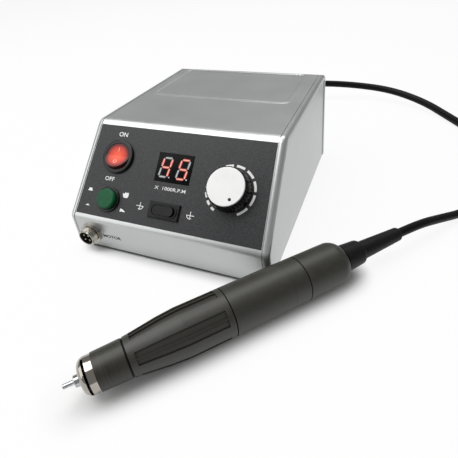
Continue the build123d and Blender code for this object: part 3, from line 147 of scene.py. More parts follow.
def finish(name, shades, roughness, patch, grain, relief, stretch=(1, 1, 1), turn=0.0, **values):
    """A finish. Patch, grain and relief are millimetres, and stretch makes the pattern longer one way."""
    material = bpy.data.materials.new(name)
    material.use_nodes = True
    tree = material.node_tree
    shader = tree.nodes["Principled BSDF"]
    for key, value in values.items():
        shader.inputs[key.replace("_", " ")].default_value = value
    place = add_node(tree, "ShaderNodeTexCoord").outputs["Object"]
    turned = add_node(tree, "ShaderNodeMapping", {"vector_type": "TEXTURE"}, {
        "Vector": place, "Rotation": (0, 0, turn), "Scale": stretch}).outputs["Vector"]
    drift = add_node(tree, "ShaderNodeTexNoise", inputs={
        "Vector": turned, "Scale": 1 / (patch * MM), "Detail": DRIFT_DETAIL}).outputs["Fac"]
    fine = add_node(tree, "ShaderNodeTexNoise", inputs={
        "Vector": turned, "Scale": 1 / (grain * MM), "Detail": GRAIN_DETAIL}).outputs["Fac"]
    both = add_node(tree, MATH, {"operation": "MULTIPLY_ADD"}, {
        0: fine, 1: GRAIN_SHARE, 2: drift}).outputs[0]
    ramp = add_node(tree, "ShaderNodeValToRGB", inputs={"Fac": both})
    ramp.color_ramp.elements[0].position = 0.5
    ramp.color_ramp.elements[0].color = linear(shades[0])
    ramp.color_ramp.elements[1].position = 1.0
    ramp.color_ramp.elements[1].color = linear(shades[1])
    rough = add_node(tree, MAP_RANGE, inputs={
        "Value": drift, "From Min": NOISE_LOW, "From Max": NOISE_HIGH,
        "To Min": roughness[0], "To Max": roughness[1]})
    bump = add_node(tree, "ShaderNodeBump", inputs={
        "Height": fine, "Strength": BUMP_STRENGTH, "Distance": relief * MM})
    tree.links.new(ramp.outputs["Color"], shader.inputs["Base Color"])
    tree.links.new(rough.outputs["Result"], shader.inputs["Roughness"])
    tree.links.new(bump.outputs["Normal"], shader.inputs["Normal"])
    return material


print("#808080 is", round(linear("#808080")[0], 3), "in linear light")

# %% [markdown]
# ## Cords
# Both cords are black PVC round a few stranded wires. A cord has a fixed length and a stiffness, so it
# leaves its strain relief straight, sinks to the bench in one easy bend and lies there. Each one is a NURBS
# spline through a few given points, because a simulated rope would find its own way to lie and not
# the one in the photograph. The rest of its length, which nobody needs on the bench, is put away as a neat
# round coil: loops that spiral in, climb a layer where they turn back, and spiral out again. The coil's
# points come from that rule, sixteen to a turn.

# %% PVC for the cords
# Extruded PVC: smooth and softly shiny, with faint dull stretches where it was handled.
extruded_pvc = finish("extruded_black_pvc", ("#08080A", "#0E0E10"), (0.42, 0.48), patch=14, grain=0.8,
                      relief=0.01, Specular_IOR_Level=0.14)
print("cords are of", extruded_pvc.name)

# %% The rule of the coils
POINTS_PER_TURN = 16
BENCH_GAP, LAYER_GAP = 0.1, 0.5


def coil_points(centre, start, spin, outer, pitch, turns, diameter):
    """Points of a coil in two layers, in millimetres: in along the bench, up a layer, and out again."""
    # Degrees turned where the climb begins, and halfway up, where the coil turns from in to out. A spin of 1
    # runs anticlockwise and one of -1 clockwise.
    full = 360 * turns
    reverse = full + 90
    low, layer = diameter / 2 + BENCH_GAP, diameter + LAYER_GAP
    # A control point lies outside the curve that it pulls, by half the sagitta of its two runs.
    outside = 2 / (1 + math.cos(math.pi / POINTS_PER_TURN))
    points = []
    for i in range(int(2 * reverse / 360 * POINTS_PER_TURN) + 1):
        turned = i * 360 / POINTS_PER_TURN
        radius = (outer - pitch * min(turned, 2 * reverse - turned) / 360) * outside
        way = math.radians(start + spin * turned)
        # The climb takes half a turn, and it begins and ends level.
        climb = min(max((turned - full) / 180, 0), 1)
        height = low + layer * climb * climb * (3 - 2 * climb)
        points.append((centre[0] + radius * math.cos(way), centre[1] + radius * math.sin(way), height))
    return points


# %% A cord through its points
SPLINE_ORDER, STEPS_PER_POINT, ROUND_STEPS = 3, 6, 5


def make_cord(name, points, diameter):
    """A cord along given points, in millimetres: one open NURBS spline with a round section."""
    curve = bpy.data.curves.new(name, "CURVE")
    curve.dimensions = "3D"
    spline = curve.splines.new("NURBS")
    spline.points.add(len(points) - 1)
    for point, place_mm in zip(spline.points, points):
        point.co = (*bench(*place_mm), 1)
    spline.order_u = SPLINE_ORDER
    spline.use_endpoint_u = True
    spline.resolution_u = STEPS_PER_POINT
    curve.bevel_depth = diameter * MM / 2
    curve.bevel_resolution = ROUND_STEPS
    curve.use_fill_caps = True
    curve.materials.append(extruded_pvc)
    cord = bpy.data.objects.new(name, curve)
    bpy.context.scene.collection.objects.link(cord)
    return cord


# %% The mains lead
MAINS_DIAMETER = 7.2
mains_route = [
    (-14.0, 218.0, 24.0), (-14.0, 259.0, 24.0), (3.6, 302.0, 21.0), (36.5, 332.2, 18.5), (79.0, 345.6, 14.8),
    (123.2, 342.6, 12.2), (160.5, 319.5, 8.2), (184.8, 288.5, 4.6), (203.4, 258.0, 3.7), (203.4, 232.2, 3.7),
]
mains_turns = coil_points((252.0, 225.0), start=180.0, spin=1, outer=48.6, pitch=8.0, turns=2,
                          diameter=MAINS_DIAMETER)
mains_tail = [(300.6, 238.0, 12.4), (300.6, 251.0, 13.0)]
mains_lead = make_cord("mains_lead", mains_route + mains_turns + mains_tail, MAINS_DIAMETER)
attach(mains_lead, "control_box")
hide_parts("mains_cord", "mains_cord_coil")
print("mains lead:", len(mains_route), "hand-set points and", len(mains_turns), "in its coil")

# %% The handpiece's cord
MOTOR_DIAMETER = 6.0
motor_route = [
    (138.58, 57.48, 13.4), (150.92, 71.6, 13.4), (165.0, 88.2, 8.9), (180.9, 106.8, 3.4),
    (197.21, 124.29, 3.1), (213.01, 142.36, 3.1),
]
motor_turns = coil_points((250.0, 118.0), start=138.84, spin=-1, outer=43.8875, pitch=6.7, turns=3,
                          diameter=MOTOR_DIAMETER)
motor_tail = [(275.8, 80.85, 8.6), (268.56, 72.55, 7.5)]
motor_lead = make_cord("handpiece_lead", motor_route + motor_turns + motor_tail, MOTOR_DIAMETER)
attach(motor_lead, "handpiece")
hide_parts("handpiece_cord", "handpiece_cord_coil")
print("handpiece lead:", len(motor_route), "hand-set points and", len(motor_turns), "in its coil")

# %% [markdown]
# ## The casing
# The cover is moulded ABS, sprayed with a silver lacquer: aluminium flakes a few hundredths of a millimetre
# across, in a satin clear coat. The flakes make it half metal to the eye, so it is bright where a lamp is
# mirrored and grey elsewhere. They are drawn at a quarter of a millimetre, which is as fine as shows. Noise
# does that at any distance, where an image would have to be huge.

# %% Silver lacquer
def dress(material, *names):
    """Gives nodes from CAD this finish."""
    for name in names:
        slots = nodes[name].data.materials
        slots.clear()
        slots.append(material)
    print(material.name, "on", ", ".join(names))


# Sprayed lacquer: a soft grey metal with a fine sparkle under a thin satin coat.
silver_lacquer = finish("silver_lacquer_on_abs", ("#BEC1C0", "#C5C8C7"), (0.35, 0.37), patch=25, grain=0.25,
                        relief=0.008, Metallic=0.85, Coat_Weight=0.2, Coat_Roughness=0.3)
dress(silver_lacquer, "top_cover")

# %% [markdown]
# ## The base, the rear and what holds them
# The base plate and rear panel are steel sheet with a grey powder coat, which has the texture of an
# orange's skin. The screws are zinc plated, and the feet are moulded rubber. The orange's skin could be
# modelled, but its bumps are so low that only the light on them shows, and a bump node is enough for that.

# %% Powder coat, zinc and rubber
# Baked powder is dull and pebbly. Bright zinc has a cool, uneven shine. Moulded rubber is black and dull.
powder_coat = finish("grey_powder_coat", ("#5A5C5E", "#686A6C"), (0.5, 0.62), patch=10, grain=0.9,
                     relief=0.05)
zinc_plate = finish("zinc_plated_steel", ("#B9BDC2", "#D2D5D8"), (0.22, 0.36), patch=2, grain=0.2,
                    relief=0.01, Metallic=1.0)
moulded_rubber = finish("moulded_black_rubber", ("#0A0A0A", "#101010"), (0.46, 0.54), patch=5, grain=0.3,
                        relief=0.012, Specular_IOR_Level=0.22)
dress(powder_coat, "base_plate", "rear_panel")
dress(zinc_plate, "case_screws", "speed_pot_nut")
dress(moulded_rubber, "rubber_feet", "mains_strain_relief", "rear_collar", "cord_boot")

# %% [markdown]
# ## The front overlay
# The charcoal panel is a polycarbonate film, printed on its back and embossed with a fine velvet texture on
# its face. In the photograph the texture shows as a light and dark speckle. It is drawn at half a
# millimetre, coarser than the real one, because anything finer would blur to a plain grey.

# %% Velvet polycarbonate film
# Embossed film: dark, dry to the eye, with a speckle of light and dark and no clear mirror image.
overlay_film = finish("velvet_polycarbonate_film", ("#101112", "#38393B"), (0.42, 0.48), patch=0.9,
                      grain=0.45, relief=0.02, Specular_IOR_Level=0.4)
dress(overlay_film, "front_overlay")

# %% [markdown]
# ## Switches and button
# The rocker is clear red polycarbonate over a neon lamp. Its colour is painted light and shade by the
# distance
# from its middle: a painted glow of the lamp in the middle and a painted shade, nearly black, at its rim,
# where the bezel's wall shades it. That is cheaper than real light inside it and looks the same in an export.
# The button is green ABS. All bezels are black nylon with a polish.

# %% Red, green and black plastics
ROCKER_PLACE, ROCKER_RADIUS, ROCKER_HEART = (-42.7, 44.9), 8.95, 1.5
LENS_GLOW = 0.14
# Share of the rocker's radius, and the colour there: painted light in the middle, painted shade at the rim.
LENS_LIGHT_AND_SHADE_STOPS = [(0.2, "#EC5838"), (0.68, "#C43220"), (0.86, "#6A120C"), (1.0, "#280706")]


def add_glow(material, middle, radius, stops, strength):
    """Colours a finish by the distance from a middle, with stops of distance over radius and shade."""
    tree = material.node_tree
    shader = tree.nodes["Principled BSDF"]
    place = add_node(tree, "ShaderNodeTexCoord").outputs["Object"]
    far = add_node(tree, VECTOR_MATH, {"operation": "DISTANCE"}, {0: place, 1: middle}).outputs["Value"]
    share = add_node(tree, MATH, {"operation": "DIVIDE"}, {0: far, 1: radius}).outputs[0]
    ramp = add_node(tree, "ShaderNodeValToRGB", inputs={"Fac": share})
    elements = ramp.color_ramp.elements
    for element, (position, shade) in zip(elements, (stops[0], stops[-1])):
        element.position = position
        element.color = linear(shade)
    for position, shade in stops[1:-1]:
        elements.new(position).color = linear(shade)
    tree.links.new(ramp.outputs["Color"], shader.inputs["Base Color"])
    tree.links.new(ramp.outputs["Color"], shader.inputs["Emission Color"])
    shader.inputs["Emission Strength"].default_value = strength


# Clear red lens over a lamp, with a painted glow in the middle and painted shade, nearly black, at its rim.
red_lens = finish("red_polycarbonate_lens", ("#D83A24", "#E1462D"), (0.30, 0.34), patch=3, grain=0.5,
                  relief=0.01, Specular_IOR_Level=0.3)
add_glow(red_lens, panel(*ROCKER_PLACE, ROCKER_HEART), ROCKER_RADIUS * MM, LENS_LIGHT_AND_SHADE_STOPS, LENS_GLOW)
# Moulded plastics: a deep colour under a soft gloss, sharper on the polished bezels than on the satin parts.
green_abs = finish("green_abs", ("#0A4D2D", "#0E5C36"), (0.3, 0.33), patch=3, grain=0.4, relief=0.004,
                   Specular_IOR_Level=0.2)
polished_nylon = finish("polished_black_nylon", ("#070708", "#0C0C0D"), (0.2, 0.24), patch=4, grain=0.4,
                        relief=0.004, Specular_IOR_Level=0.3)
satin_nylon = finish("satin_black_nylon", ("#09090A", "#101012"), (0.34, 0.4), patch=3, grain=0.3,
                     relief=0.01, Specular_IOR_Level=0.25)
dress(red_lens, "power_rocker")
dress(green_abs, "mode_button_cap")
dress(polished_nylon, "power_switch_housing", "mode_button_bezel", "fuse_holder")
dress(satin_nylon, "direction_switch_frame", "direction_paddle", "motor_socket_insulator",
      "motor_plug_insert", "motor_plug_body")

# %% [markdown]
# ## Display
# A two-digit LED display is a block of smoked epoxy with light pipes for its bars. Lit bars glow orange red
# and wash out a little in the middle. Bars that are off stay as pale diffusers behind the smoked face.
# Lamps inside a real block of resin would be slow to render, so the lit bars give off a light of their own.

# %% Smoked epoxy and its bars
# Smoked epoxy is nearly black and smooth. The diffusers in it are milky, one set with its own red light.
smoked_epoxy = finish("smoked_epoxy", ("#030304", "#060607"), (0.14, 0.17), patch=5, grain=0.5, relief=0.003,
                      Specular_IOR_Level=0.08)
lit_bar = finish("lit_diffuser", ("#6E140E", "#7E1A12"), (0.3, 0.4), patch=2, grain=0.4, relief=0.004,
                 Emission_Color=linear("#FF2A1A"), Emission_Strength=0.32)
dark_bar = finish("dark_diffuser", ("#3E4041", "#4A4C4D"), (0.3, 0.42), patch=2, grain=0.4, relief=0.004)
dress(smoked_epoxy, "display_module")
dress(lit_bar, "display_segments_lit")
dress(dark_bar, "display_segments_dark")

# %% [markdown]
# ## Speed control
# The knob's skirt is black ABS with moulded flutes, and its cap is a white disc pressed into the skirt. A dot
# of black paint in the cap points to the speed. The dot needs no piece of its own: the cap's colour turns
# dark within a millimetre of the dot's middle, in object coordinates, so it turns with the knob.

# %% Black skirt and white cap
KNOB_PLACE, CAP_TOP = (40.0, 34.2), 10.2
# Moulded ABS is black with a gloss on the flutes' crowns. The cap's white lacquer is even and softly glossy.
moulded_abs = finish("moulded_black_abs", ("#0A0A0B", "#121214"), (0.24, 0.28), patch=4, grain=0.25,
                     relief=0.002, Specular_IOR_Level=0.4)
white_cap = finish("white_lacquered_cap", ("#F4F4F3", "#FBFBFA"), (0.28, 0.31), patch=8, grain=0.4,
                   relief=0.003)
dress(moulded_abs, "speed_knob_skirt", "mains_plug_body")
dress(white_cap, "speed_knob_cap")

# %% The painted dot
DOT_RADIUS, DOT_OFFSET, DOT_ANGLE = 0.988, 8.2, math.radians(-60)


def paint(material, where, colour):
    """Turns a finish to another colour where a factor is one."""
    tree = material.node_tree
    base = tree.nodes["Principled BSDF"].inputs["Base Color"]
    mixed = add_node(tree, "ShaderNodeMix", {"data_type": "RGBA"}, {
        0: where, 6: base.links[0].from_socket, 7: linear(colour)})
    tree.links.new(mixed.outputs[2], base)


tree = white_cap.node_tree
dot_u, dot_v = DOT_OFFSET * math.cos(DOT_ANGLE), DOT_OFFSET * math.sin(DOT_ANGLE)
dot = panel(KNOB_PLACE[0] + dot_u, KNOB_PLACE[1] + dot_v, CAP_TOP)
place = add_node(tree, "ShaderNodeTexCoord").outputs["Object"]
far = add_node(tree, VECTOR_MATH, {"operation": "DISTANCE"}, {0: place, 1: dot}).outputs["Value"]
inside = add_node(tree, MATH, {"operation": "LESS_THAN"}, {0: far, 1: DOT_RADIUS * MM}).outputs[0]
paint(white_cap, inside, "#1A1A1B")
print("dot at", [round(c, 4) for c in dot])

# %% [markdown]
# ## Works inside
# The boards are glass-fibre epoxy with a green solder mask, whose tracks show as slightly lighter lines.
# The transformer's core is a stack of silicon steel sheets, half a millimetre each, so its colour is
# striped in that pitch. Its winding is enamelled copper. The capacitors wear a blue sleeve, and the heat
# sink is extruded aluminium. The motor in the handpiece has the same steel and copper round a nickel-plated
# magnet. All this shows only when something is taken apart, so each finish just tells its material.

# %% Boards, iron, copper and aluminium
# Solder mask: glossy green with lighter tracks, drawn a little broader than real ones so that they show.
solder_mask = finish("green_solder_mask", ("#12502B", "#1D6B3B"), (0.25, 0.4), patch=1.6, grain=0.5,
                     relief=0.02)
# Rolled steel sheets on edge: grey stripes across the stack.
core_steel = finish("silicon_steel_sheets", ("#5B5D60", "#8A8C90"), (0.35, 0.5), patch=0.5, grain=0.5,
                    relief=0.03, stretch=(60, 1, 60), Metallic=0.9)
# Enamelled wire: orange brown, with a painted highlight, a lighter line of shine, along each turn.
copper_wire = finish("enamelled_copper_wire", ("#8A4A22", "#C47A42"), (0.25, 0.4), patch=0.6, grain=0.6,
                     relief=0.08, stretch=(40, 40, 1), Metallic=0.85)
# Extruded and left bare: pale metal with a blurred mirror image.
extruded_aluminium = finish("extruded_aluminium", ("#B4B7BA", "#CBCED0"), (0.3, 0.42), patch=3, grain=0.3,
                            relief=0.01, Metallic=1.0)
# Shrunk sleeve: even blue and shiny.
blue_sleeve = finish("blue_pvc_sleeve", ("#1B3A86", "#254A9C"), (0.22, 0.32), patch=5, grain=0.4,
                     relief=0.005)
# Nickel over sintered iron: grey, bright and faintly cloudy.
nickel_magnet = finish("nickel_plated_magnet", ("#9DA0A3", "#B8BBBE"), (0.2, 0.3), patch=3, grain=0.2,
                       relief=0.006, Metallic=1.0)
dress(solder_mask, "front_board", "main_board")
dress(core_steel, "transformer_core", "stator")
dress(copper_wire, "transformer_winding", "stator_windings")
dress(extruded_aluminium, "heat_sink", "board_standoffs", "speed_pot_shaft", "speed_pot_body")
dress(blue_sleeve, "filter_capacitors")
dress(nickel_magnet, "rotor_magnet")

# %% [markdown]
# ## Handpiece
# The sleeves are turned aluminium, blasted with fine grit and hard anodised in a dark olive grey. Blasting
# leaves an even, dry grain, and the lathe's feed still shows as faint rings. Both are about a tenth of a
# millimetre, too fine to show here, so the grain is drawn at three tenths and the rings at half a
# millimetre and more. The rings run across the axis, so the pattern is turned by the handpiece's heading
# and stretched round it. The nose is chromed brass, and the collet and the blank pin are ground steel.

# %% Anodised sleeves and bright metal
HEADING = math.radians(48.84)
# Blasted and anodised: dark, dry and even, with a broad soft sheen along the top.
olive_anodised = finish("blasted_anodised_aluminium", ("#201F18", "#2A2920"), (0.46, 0.5), patch=3.0,
                        grain=0.3, relief=0.012, Specular_IOR_Level=0.7)
# The same on the grip, as a finish of its own, because the flutes' painted shade will change it.
fluted_anodised = finish("fluted_anodised_aluminium", ("#201F18", "#2A2920"), (0.46, 0.5), patch=3.0,
                         grain=0.3, relief=0.012, Specular_IOR_Level=0.7)
# Turned and anodised: the same olive grey in faint lighter and darker rings.
ringed_anodised = finish("turned_anodised_aluminium", ("#181711", "#333228"), (0.42, 0.48), patch=0.9,
                         grain=0.5, relief=0.02, stretch=(1, 40, 40), turn=HEADING, Specular_IOR_Level=0.55)
# Chrome is a clear mirror with a warm cast. Ground steel is brighter, and its mirror image is streaked.
chrome = finish("chromed_brass", ("#A19C94", "#B0ABA4"), (0.08, 0.12), patch=5, grain=0.4, relief=0.002,
                Metallic=1.0)
ground_steel = finish("ground_steel", ("#A9ABAD", "#C6C8CA"), (0.16, 0.28), patch=0.4, grain=0.15,
                      relief=0.008, stretch=(1, 12, 12), turn=HEADING, Metallic=1.0)
# The inner housing shows only through the grooves and wears the dark olive finish, which paints their shade.
dress(olive_anodised, "motor_sleeve", "rear_sleeve", "inner_housing")
dress(fluted_anodised, "grip_sleeve")
dress(ringed_anodised, "front_sleeve")
dress(chrome, "nose_cap")
dress(ground_steel, "collet", "collet_blank", "spindle", "bearing_outer_rings", "bearing_inner_rings",
      "chuck_release_ring", "chuck_spring")

# %% [markdown]
# ## Slot, turned line and flutes
# The nose has a narrow slot round it, the motor sleeve a line where the lathe tool stopped, and the grip
# flutes for the fingers. Chrome would mirror the white room even at the bottom of a slot, so the slot is
# painted black as its shade, and the line and the flutes' floors get a painted shade as well. Faces could be
# given a second material, but a colour that depends on the place needs no cut in the mesh. One function
# gives the two distances that say where a place lies on a turned piece: how far along its axis, and how far
# out from it.

# %% Slot in the nose
TIP = bench(3.650, -96.849, 13.4)
AXIS = Vector((math.cos(HEADING), math.sin(HEADING), 0))
SLOT_MIDDLE, SLOT_WIDTH, SLOT_SLACK, SLOT_DEEPER_THAN = 11.2, 1.2, 0.05, 8.8


def along_and_out(tree):
    """How far a place lies along the handpiece's axis from its tip, and how far out from that axis."""
    place = add_node(tree, "ShaderNodeTexCoord").outputs["Object"]
    away = add_node(tree, VECTOR_MATH, {"operation": "SUBTRACT"}, {0: place, 1: TIP}).outputs[0]
    along = add_node(tree, VECTOR_MATH, {"operation": "DOT_PRODUCT"}, {0: away, 1: AXIS}).outputs["Value"]
    foot = add_node(tree, VECTOR_MATH, {"operation": "PROJECT"}, {0: away, 1: AXIS}).outputs[0]
    out = add_node(tree, VECTOR_MATH, {"operation": "DISTANCE"}, {0: away, 1: foot}).outputs["Value"]
    return along, out


tree = chrome.node_tree
along, out = along_and_out(tree)
in_slot = add_node(tree, MATH, {"operation": "COMPARE"}, {
    0: along, 1: SLOT_MIDDLE * MM, 2: (SLOT_WIDTH / 2 + SLOT_SLACK) * MM}).outputs[0]
deep = add_node(tree, MATH, {"operation": "LESS_THAN"}, {0: out, 1: SLOT_DEEPER_THAN * MM}).outputs[0]
both = add_node(tree, MATH, {"operation": "MULTIPLY"}, {0: in_slot, 1: deep}).outputs[0]
# Painted shade: the inside of the slot is black.
paint(chrome, both, "#0A0A0A")
print("slot", SLOT_MIDDLE, "mm behind the tip")

# %% Turned line on the motor sleeve
# The sleeve steps down by a hair there, and the step is drawn as a thin line of painted shade.
CUT_PLACE, CUT_WIDTH = 118.5, 0.45
tree = olive_anodised.node_tree
along, _ = along_and_out(tree)
in_step_shade = add_node(tree, MATH, {"operation": "COMPARE"}, {
    0: along, 1: CUT_PLACE * MM, 2: CUT_WIDTH / 2 * MM}).outputs[0]
paint(olive_anodised, in_step_shade, "#100F0B")
print("turned line", CUT_PLACE, "mm behind the tip")

# %% Grip and its flutes
# The flutes' floors are painted one even olive grey, a hair darker than the lands on average, as painted
# shade in the recesses. A curve gives the radius of the lands along the grip, and what lies deeper than that
# by a hair is in a flute.
# The curve runs from 0 to 1 both ways, so lengths and radii are shares of its two scales.
GRIP_LINE = [(30.3, 10.0), (39.0, 11.15), (48.0, 12.4), (58.0, 13.25), (82.4, 13.35)]
LENGTH_SCALE, RADIUS_SCALE, FLOOR_BELOW = 100.0, 20.0, 0.25
tree = fluted_anodised.node_tree
along, out = along_and_out(tree)
share_of_length = add_node(tree, MATH, {"operation": "DIVIDE"}, {0: along, 1: LENGTH_SCALE * MM}).outputs[0]
skin = add_node(tree, "ShaderNodeFloatCurve", inputs={"Value": share_of_length})
curve_points = skin.mapping.curves[0].points
while len(curve_points) < len(GRIP_LINE):
    curve_points.new(0.5, 0.5)
for point, (reach, radius) in zip(curve_points, GRIP_LINE):
    point.location = (reach / LENGTH_SCALE, (radius - FLOOR_BELOW) / RADIUS_SCALE)
    point.handle_type = "VECTOR"
skin.mapping.update()
skin_radius = add_node(tree, MATH, {"operation": "MULTIPLY"}, {
    0: skin.outputs[0], 1: RADIUS_SCALE * MM}).outputs[0]
in_flute_shade = add_node(tree, MATH, {"operation": "LESS_THAN"}, {0: out, 1: skin_radius}).outputs[0]
paint(fluted_anodised, in_flute_shade, "#24231C")
print("skin of the grip:", GRIP_LINE)

# %% [markdown]
# ## From a drawing to a piece
# The pieces that CAD doesn't hold are thin: a seal, a step, printed ink. Each is easiest to draw flat, in
# millimetres, and to lay on its face afterwards. One function makes the matrix for that from the two ways
# that the drawing's right and up have to point, and another makes the drawing a piece that rides on a body.

# %% Laying a drawing on a face
def lying(place, right, up):
    """The matrix that lays a flat drawing in millimetres at a place, with these ways to its right and up."""
    out = right.cross(up).normalized()
    turned = Matrix((right, up, out)).transposed() * MM
    return Matrix.Translation(place) @ turned.to_4x4()


def place_mesh(name, mesh, matrix, material, body):
    """A drawing in millimetres becomes a piece of the model that rides on a body."""
    mesh.name = name
    mesh.transform(matrix)
    mesh.materials.clear()
    mesh.materials.append(material)
    piece = bpy.data.objects.new(name, mesh)
    bpy.context.scene.collection.objects.link(piece)
    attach(piece, body)
    print(name, "rides on", body)


# %% [markdown]
# ## Seal ring
# The grip turns against the sleeve in front of it to open the chuck, and grinding dust mustn't get in
# between. A ring of soft black nitrile rubber sits in that groove, and its black also paints the groove's
# shade. Its section is a flat oval that fills the groove but for a hair on each side, and it goes once round
# the axis. A torus would have a round section, so the oval's points are worked out one by one.

# %% Nitrile ring in the front groove
RING_START, RING_END, RING_INNER, RING_OUTER = 29.45, 30.25, 8.5, 9.72
RING_STEPS, SECTION_STEPS = 96, 12


def ring_mesh(start, end, inner, outer):
    """A soft ring round the handpiece's axis, in millimetres along it and out from it."""
    vertices, faces = [], []
    for i in range(RING_STEPS):
        turn = 2 * math.pi * i / RING_STEPS
        for j in range(SECTION_STEPS):
            way = 2 * math.pi * j / SECTION_STEPS
            reach = (start + end) / 2 - (end - start) / 2 * math.sin(way)
            radius = (inner + outer) / 2 + (outer - inner) / 2 * math.cos(way)
            vertices.append((radius * math.cos(turn), radius * math.sin(turn), reach))
            near, far = i * SECTION_STEPS, (i + 1) % RING_STEPS * SECTION_STEPS
            k = (j + 1) % SECTION_STEPS
            faces.append((near + j, near + k, far + k, far + j))
    mesh = bpy.data.meshes.new("ring")
    mesh.from_pydata(vertices, [], faces)
    mesh.shade_smooth()
    return mesh


upright = Vector((0, 0, 1))
place_mesh("grip_seal_ring", ring_mesh(RING_START, RING_END, RING_INNER, RING_OUTER),
           lying(TIP, upright, AXIS.cross(upright)), moulded_rubber, "handpiece")
print("seal ring from", RING_START, "to", RING_END, "mm behind the tip")

# %% [markdown]
# ## Frame on the top
# The cover's top has a shallow field with a low step round it. The step rises gently from outside, by half
# a millimetre, and falls more steeply inward, so its rear wall faces the front and catches the light as a
# pale line. A bevelled curve could make it, but a section swept once round a rectangle with round corners
# has its points just where the step turns.

# %% Sweeping a section round a path
def arc(centre, radius, first, last, count=13):
    """Points on an arc, with angles in degrees, anticlockwise from the right."""
    ways = [math.radians(first + (last - first) * i / (count - 1)) for i in range(count)]
    return [(centre[0] + radius * math.cos(way), centre[1] + radius * math.sin(way)) for way in ways]


def swept_mesh(path, section):
    """A section of outward offsets and heights, from its outer foot to its inner one, swept round a path."""
    vertices, faces = [], []
    size, count = len(section), len(path)
    for i, (x, y) in enumerate(path):
        (ax, ay), (bx, by) = path[i - 1], path[(i + 1) % count]
        reach = math.hypot(bx - ax, by - ay)
        right_x, right_y = (by - ay) / reach, (bx - ax) / reach
        vertices += [(x + right_x * out, y - right_y * out, high) for out, high in section]
        here, beyond = i * size, (i + 1) % count * size
        for j in range(size):
            k = (j + 1) % size
            faces.append((here + j, beyond + j, beyond + k, here + k))
    mesh = bpy.data.meshes.new("swept")
    mesh.from_pydata(vertices, [], faces)
    return mesh


# %% The step round the field
TOP_Z = 74.0
FIELD_LEFT, FIELD_RIGHT, FIELD_FRONT, FIELD_REAR = -53.5, 51.5, 106.0, 169.5
FIELD_CORNER, CORNER_POINTS = 3.0, 7
STEP_OUTER, STEP_CREST, STEP_INNER, STEP_HEIGHT = 4.2, 1.5, 0.0, 0.45
# Each corner, the ways from it to its arc's centre, and the angle at which the arc begins.
field_corners = [(FIELD_RIGHT, FIELD_REAR, -1, -1, 0), (FIELD_LEFT, FIELD_REAR, 1, -1, 90),
                 (FIELD_LEFT, FIELD_FRONT, 1, 1, 180), (FIELD_RIGHT, FIELD_FRONT, -1, 1, 270)]
field_path = []
for x, y, right_way, up_way, first in field_corners:
    centre = (x + right_way * FIELD_CORNER, y + up_way * FIELD_CORNER)
    field_path += arc(centre, FIELD_CORNER, first, first + 90, CORNER_POINTS)
step_section = [(STEP_OUTER, 0), (STEP_CREST, STEP_HEIGHT), (STEP_INNER, 0)]
on_top = lying(bench(0, 0, TOP_Z), across, Vector((0, 1, 0)))
place_mesh("top_frame", swept_mesh(field_path, step_section), on_top, silver_lacquer, "control_box")
print("frame on the top:", FIELD_RIGHT - FIELD_LEFT, "by", FIELD_REAR - FIELD_FRONT, "mm")

# %% [markdown]
# ## Sockets and plugs
# The motor socket, the plug's nut and the pedal jack are brass with a nickel plate, which is a warm grey
# metal. The contacts are silver plated. Metal is mostly what it mirrors, so in a white room with three soft
# boxes it needs no more than its own colour and a little roughness.

# %% Nickel and contacts
# Plated brass that was turned: a warm grey mirror, a little blurred by fine tool marks.
nickel_plate = finish("nickel_plated_brass", ("#A39F96", "#BDB9B0"), (0.18, 0.3), patch=2, grain=0.25,
                      relief=0.008, Metallic=1.0)
# Silver that has tarnished a little: greyer and duller than the nickel.
contact_metal = finish("silver_plated_contacts", ("#97938B", "#ABA79F"), (0.2, 0.28), patch=2, grain=0.2,
                       relief=0.006, Metallic=1.0)
dress(nickel_plate, "motor_socket_shell", "motor_plug_nut", "foot_pedal_jack")
dress(contact_metal, "motor_socket_pins", "mains_plug_blades")

# %% [markdown]
# ## Printed words
# The legends are white ink, screen printed on the film. Ink is a layer a few hundredths of a millimetre
# thick, so the words are text with that thickness, made a mesh and laid on the panel. An image would blur
# close up, and text stays sharp. The words on the panel are what the switches do, on and off, and what the
# number counts.

# %% Ink and a word
INK = 0.03
LETTER_DEPTH, LETTER_STEPS = 0.5, 3
# Screen ink: an even, opaque layer with a soft sheen and the finest grain of the mesh.
white_ink = finish("white_screen_ink", ("#F2F2F0", "#FBFBF9"), (0.45, 0.58), patch=2, grain=0.2, relief=0.006)
black_ink = finish("black_screen_ink", ("#0E0E0F", "#18181A"), (0.45, 0.58), patch=2, grain=0.2, relief=0.006)


def plain_mesh(drawing):
    """What a drawing comes to, as a plain mesh. The drawing itself is removed."""
    bpy.context.scene.collection.objects.link(drawing)
    graph = bpy.context.evaluated_depsgraph_get()
    mesh = bpy.data.meshes.new_from_object(drawing.evaluated_get(graph))
    bpy.data.objects.remove(drawing)
    return mesh


def word_mesh(text, width, height, weight):
    """A printed word of that width and height, in millimetres, with its middle at the origin."""
    curve = bpy.data.curves.new(text, "FONT")
    curve.body = text
    curve.offset = weight
    curve.extrude = LETTER_DEPTH
    curve.resolution_u = LETTER_STEPS
    mesh = plain_mesh(bpy.data.objects.new(text, curve))
    low = [min(v.co[i] for v in mesh.vertices) for i in range(3)]
    high = [max(v.co[i] for v in mesh.vertices) for i in range(3)]
    sizes = [wanted / (b - a) for wanted, a, b in zip((width, height, INK), low, high)]
    centred = Matrix.Translation([-(a + b) / 2 for a, b in zip(low, high)])
    mesh.transform(Matrix.Diagonal((*sizes, 1)) @ centred)
    print(text, "is", width, "mm wide and", height, "mm high")
    return mesh


# %% Words on the film
FILM_FACE = 0.2


def on_film(u, v):
    """The matrix that lays a drawing on the film, half the ink's thickness above its face."""
    return lying(panel(u, v, FILM_FACE + INK / 2), across, up_slope)


